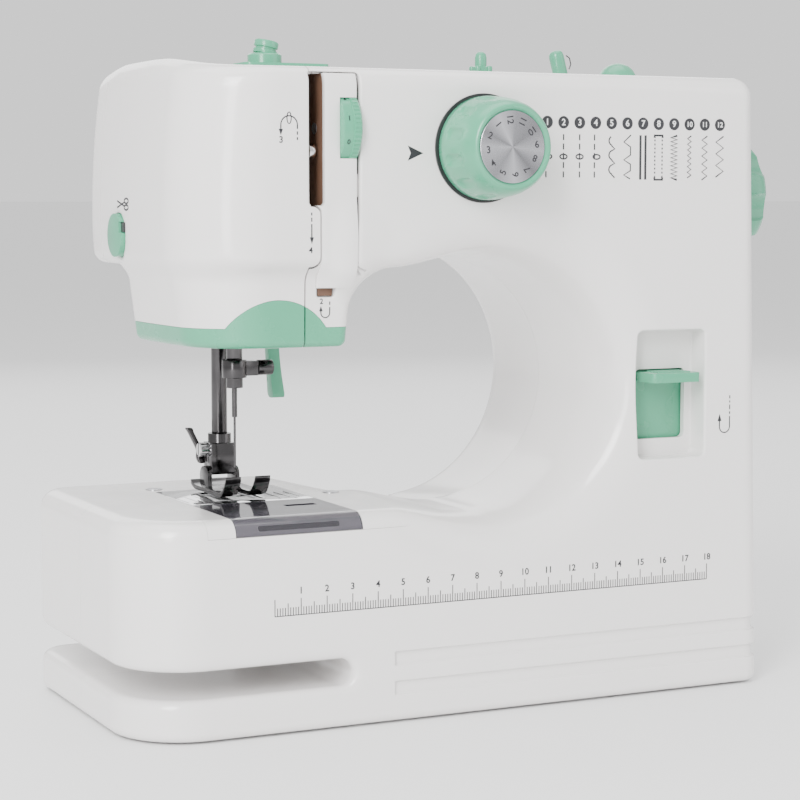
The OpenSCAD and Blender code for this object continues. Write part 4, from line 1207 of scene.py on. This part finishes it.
def makePresserFoot():
    c = presserFoot
    sole = grid(block("foot", (c["x"][0], c["toe"], c["low"]),
                      (c["x"][1], c["heel"], c["low"] + c["thick"])), 40, "Y")
    cut(sole, block("slot", (58.0, 30, 70), (63.6, 66, 90)))

    def curl(p):
        z = p.z
        if p.y < 54:
            z += ((54 - p.y) / 9) ** 2 * 6.4
        if p.y > 78:
            z += ((p.y - 78) / 6) ** 2 * 1.6
        return (p.x, p.y + max(0, 52 - p.y) * 0.25, z)
    shape(sole, curl)
    for side in (-1, 1):
        x = 60.8 + side * 5.6
        ear = softEdges(block("ear", (x - 0.8, 71.5, c["low"] + 0.5), (x + 0.8, 80.5, 88)), 3.6, "X",
                        lambda p: p.z > 87, 8)
        cut(sole, ear, "UNION")
    cut(sole, rod("pin", (54.4, 76, 85.6), (67.2, 76, 85.6), 1.1, 24), "UNION")
    softenAll(sole, 0.22, 2, 40)
    smooth(sole, 40)
    finish(sole, "darkChrome", "presser_foot", "dark_chrome", "presser_foot")


def makeRelease():
    lever = grid(block("releaseLever", (56.8, 81.2, 88.4), (62.6, 83.8, 102)), 20, "Z")

    def bend(p):
        t = (p.z - 88.4) / 13.6
        wide = 1 - 0.62 * float(ease(0.1, 0.4, np.array(t))) + 0.1 * float(ease(0.85, 1, np.array(t)))
        return (57.6 - 5.8 * t + (p.x - 59.7) * wide, p.y + 3.2 * t, p.z)
    shape(lever, bend)
    softenAll(lever, 0.6, 3, 45)
    smooth(lever, 45)
    finish(lever, "darkChrome", "foot_release", "dark_chrome", "foot_release")


def knurledScrew(name, start, end, r, stemEnd, stemR, body, node):
    x, y, z = start
    wide = abs(end[0] - x)
    head = turned(name, start, Vector(end) - Vector(start),
                  [(r * 0.86, 0), (r, 0.5), (r, wide - 0.5), (r * 0.86, wide)], 48)
    top = z + r + 0.22                                   # just past the rim, so the notches are shallow
    notch = rod("notch", (min(x, end[0]) - 1, y, top), (max(x, end[0]) + 1, y, top), 0.42, 8)
    cut(head, ringOf(notch, 20, (0, y, z), "X"))
    cut(head, block("slot", (end[0] - 0.6, y - 0.4, z - r - 1), (end[0] + 0.6, y + 0.4, z + r + 1)))
    cut(head, rod("stem", start, stemEnd, stemR, 24), "UNION")
    smooth(head, 35)
    return finish(head, "chrome", body, "chrome", node)


threadGuide = {
    "base": ((60.0, 44, 235.3), (93.6, 60, 238.9)), "post": (70.4, 52, 238.5), "cap": (70.4, 52, 242.2),
    "postStages": [(6.3, 0), (6.3, 3.4), (5.4, 4.2), (3.4, 4.3), (3.4, 6)],                # radius, height
    "capStages": [(3.2, 0), (4.4, 0.2), (4.5, 1.6), (3.9, 1.8), (3.9, 2.4), (4.5, 2.6), (4.5, 4.5),
                  (4.1, 5.0)],
    "capLean": (0.2, 0, 1), "groove": ((60, 51.6, 247.0), (82, 52.4, 250)),
}


def makeThreadGuide():
    c = threadGuide
    base = block("threadGuide", *c["base"])
    softEdges(base, 3.0, "Z", lambda p: True)
    cut(base, turned("post", c["post"], (0, 0, 1), c["postStages"], 48), "UNION")
    cut(base, turned("cap", c["cap"], c["capLean"], c["capStages"], 48), "UNION")
    cut(base, block("thread", *c["groove"]))
    softenAll(base, 0.3, 3, 40)
    smooth(base, 40)
    finish(base, "mint", "root", "mint_plastic", "thread_guide")


winder = {
    "stop": (226.5, 60, 235.4), "slope": -14, "axis": (203.4, 60, 226), "lean": -15, "below": 13,
    "stopStages": [(8.2, 0), (8.1, 1.4), (7.5, 3.4), (6.3, 5.3), (4.6, 6.8), (2.4, 7.8), (0.3, 8.2)],
    "spindleStages": [(2.5, 0), (6, 0.6), (6, 4), (2.6, 4.2), (2.6, 24), (2.95, 24.6), (2.95, 33),
                      (2.7, 34.4), (2.0, 35.2), (0.4, 35.5)],
    "spring": [(202.6, 246.0), (204.2, 245.0), (204.8, 242.6), (204.0, 240.6)],
}


def makeWinder():
    c = winder
    stop = turned("winderStop", c["stop"], (0, 0, 1), c["stopStages"], 48)
    slope = block("slope", (5.6, -20, -5), (30, 20, 30))
    slope.data.transform(Matrix.Translation(place(*c["stop"])) @ turnBy(c["slope"], "Y")
                         @ Matrix.Translation(-place(0, 0, 0)))
    cut(stop, slope)
    softenAll(stop, 0.6, 3, 30)
    smooth(stop, 40)
    finish(stop, "mint", "root", "mint_plastic", "winder_stop")
    lean = Vector((math.sin(math.radians(c["lean"])), 0, math.cos(math.radians(c["lean"]))))
    x, y, z = c["axis"]
    spindle = turned("winderSpindle", (x - lean.x * c["below"], y, z - lean.z * c["below"]), lean,
                     c["spindleStages"], 40)
    softenAll(spindle, 0.2, 2, 40)
    smooth(spindle, 40)
    finish(spindle, "mint", "winder_spindle", "mint_plastic", "winder_spindle")


def makeWinderSpring():
    spring = lines("winderSpring", [winder["spring"]], 0.5, 1)
    spring.data.transform(Matrix.Translation((0, winder["stop"][1] * mm, 0)))
    finish(spring, "darkChrome", "winder_spindle", "dark_chrome")


spoolPin = {
    "foot": (164.4, 60, 183.4), "lobes": 4, "lobeR": 1.15, "lobeAt": 3.5, "lobeZ": (236.8, 240.8),
    "stages": [(1.7, 0), (2.15, 0.6), (2.15, 53.4), (3.4, 53.8), (3.4, 57), (2.3, 57.5), (2.3, 60.6),
               (2.0, 62), (1.3, 62.7), (0.3, 63)],
}


def makeSpoolPin():
    c = spoolPin
    x, y, z = c["foot"]
    pin = turned("spoolPin", c["foot"], (0, 0, 1), c["stages"], 40)
    smooth(pin, 40)
    finish(pin, "mint", "spool_pin", "mint_plastic", "spool_pin")
    low, high = c["lobeZ"]
    lobe = rod("lobe", (x, y - c["lobeAt"], low), (x, y - c["lobeAt"], high), c["lobeR"], 16)
    softenAll(lobe, 0.5, 3, 40)
    lobes = smooth(ringOf(lobe, c["lobes"], (x, y, 0), "Z", 45), 40)
    lobes.name = "spoolLobes"
    finish(lobes, "mint", "spool_pin", "mint_plastic")


makeRuler()
makeChart()
makeIcons()
makeScissors()
print("prints laid on")
makeBed()
makePresserFoot()
makeRelease()
makeThreadGuide()
refine("spool_pin_base", "mint", "root", "mint_plastic", 0.25, 2)
makeWinder()
makeSpoolPin()
makeWinderSpring()
refine("thread_cutter", "mint", "root", "mint_plastic", 0.5, 3)
cutterSlot = block("cutterSlot", (20.0, 65.2, 177.2), (24.2, 68.8, 180.8), 0.15, 1)
finish(cutterSlot, "black", "root", "black_plastic")
knurledScrew("footScrew", (56.4, 76, 94.5), (52.2, 76, 94.5), 2.7, (57.5, 76, 94.5), 1.6, "presser_bar",
             "foot_screw")
for node, paint, body, slot, soft in (
        ("needle_clamp", "darkChrome", "needle_bar", "chrome", 0.3),
        ("clamp_screw", "darkChrome", "needle_bar", "chrome", 0.25),
        ("foot_holder", "darkChrome", "presser_bar", "chrome", 0.3),
        ("needle_bar", "darkChrome", "needle_bar", "chrome", 0.3),
        ("presser_bar", "darkChrome", "presser_bar", "chrome", 0.3),
        ("screws", "steel", "root", "chrome", 0.2),
        ("rubber_feet", "rubber", "root", "rubber", 0.15),
        ("base_plate", "white", "root", "white_plastic", 0.3),
        ("take_up_lever", "chrome", "take_up_lever", "chrome", 0.25),
        ("power_switch", "black", "power_switch", "black_plastic", 0.5),
        ("sockets", "black", "root", "black_plastic", 0.25)):
    refine(node, paint, body, slot, soft)
print("metal and bed pieces made")
slotPaint = {                                        # paint of each material slot on the inner works
    "white_plastic": "white", "mint_plastic": "mint", "rubber": "rubber", "chrome": "chrome",
    "dark_chrome": "darkChrome", "smoked_plastic": "smoke", "clear_plastic": "clear", "steel": "steel",
    "black_plastic": "black", "belt_rubber": "belt", "cast_frame": "cast", "bronze": "bronze",
    "spun_aluminium": "steel", "nylon": "nylon", "lamp_lens": "lens", "board": "board",
}


def paintFrame():
    slots = {}
    for row in frame["record"]["subparts"]:
        if isinstance(row, dict) and "node" in row:
            slots[row["node"]] = row.get("material_slot")
    for name, obj in frame["nodes"].items():
        paint = paints["darkChrome" if name == "needle" else slotPaint.get(slots.get(name), "steel")]
        for i in range(max(1, len(obj.material_slots))):
            if obj.material_slots:
                obj.material_slots[i].material = paint
            else:
                obj.data.materials.append(paint)
    print("frame nodes painted", len(slots))


paintFrame()

bpy.data.objects.remove(plateBlank)
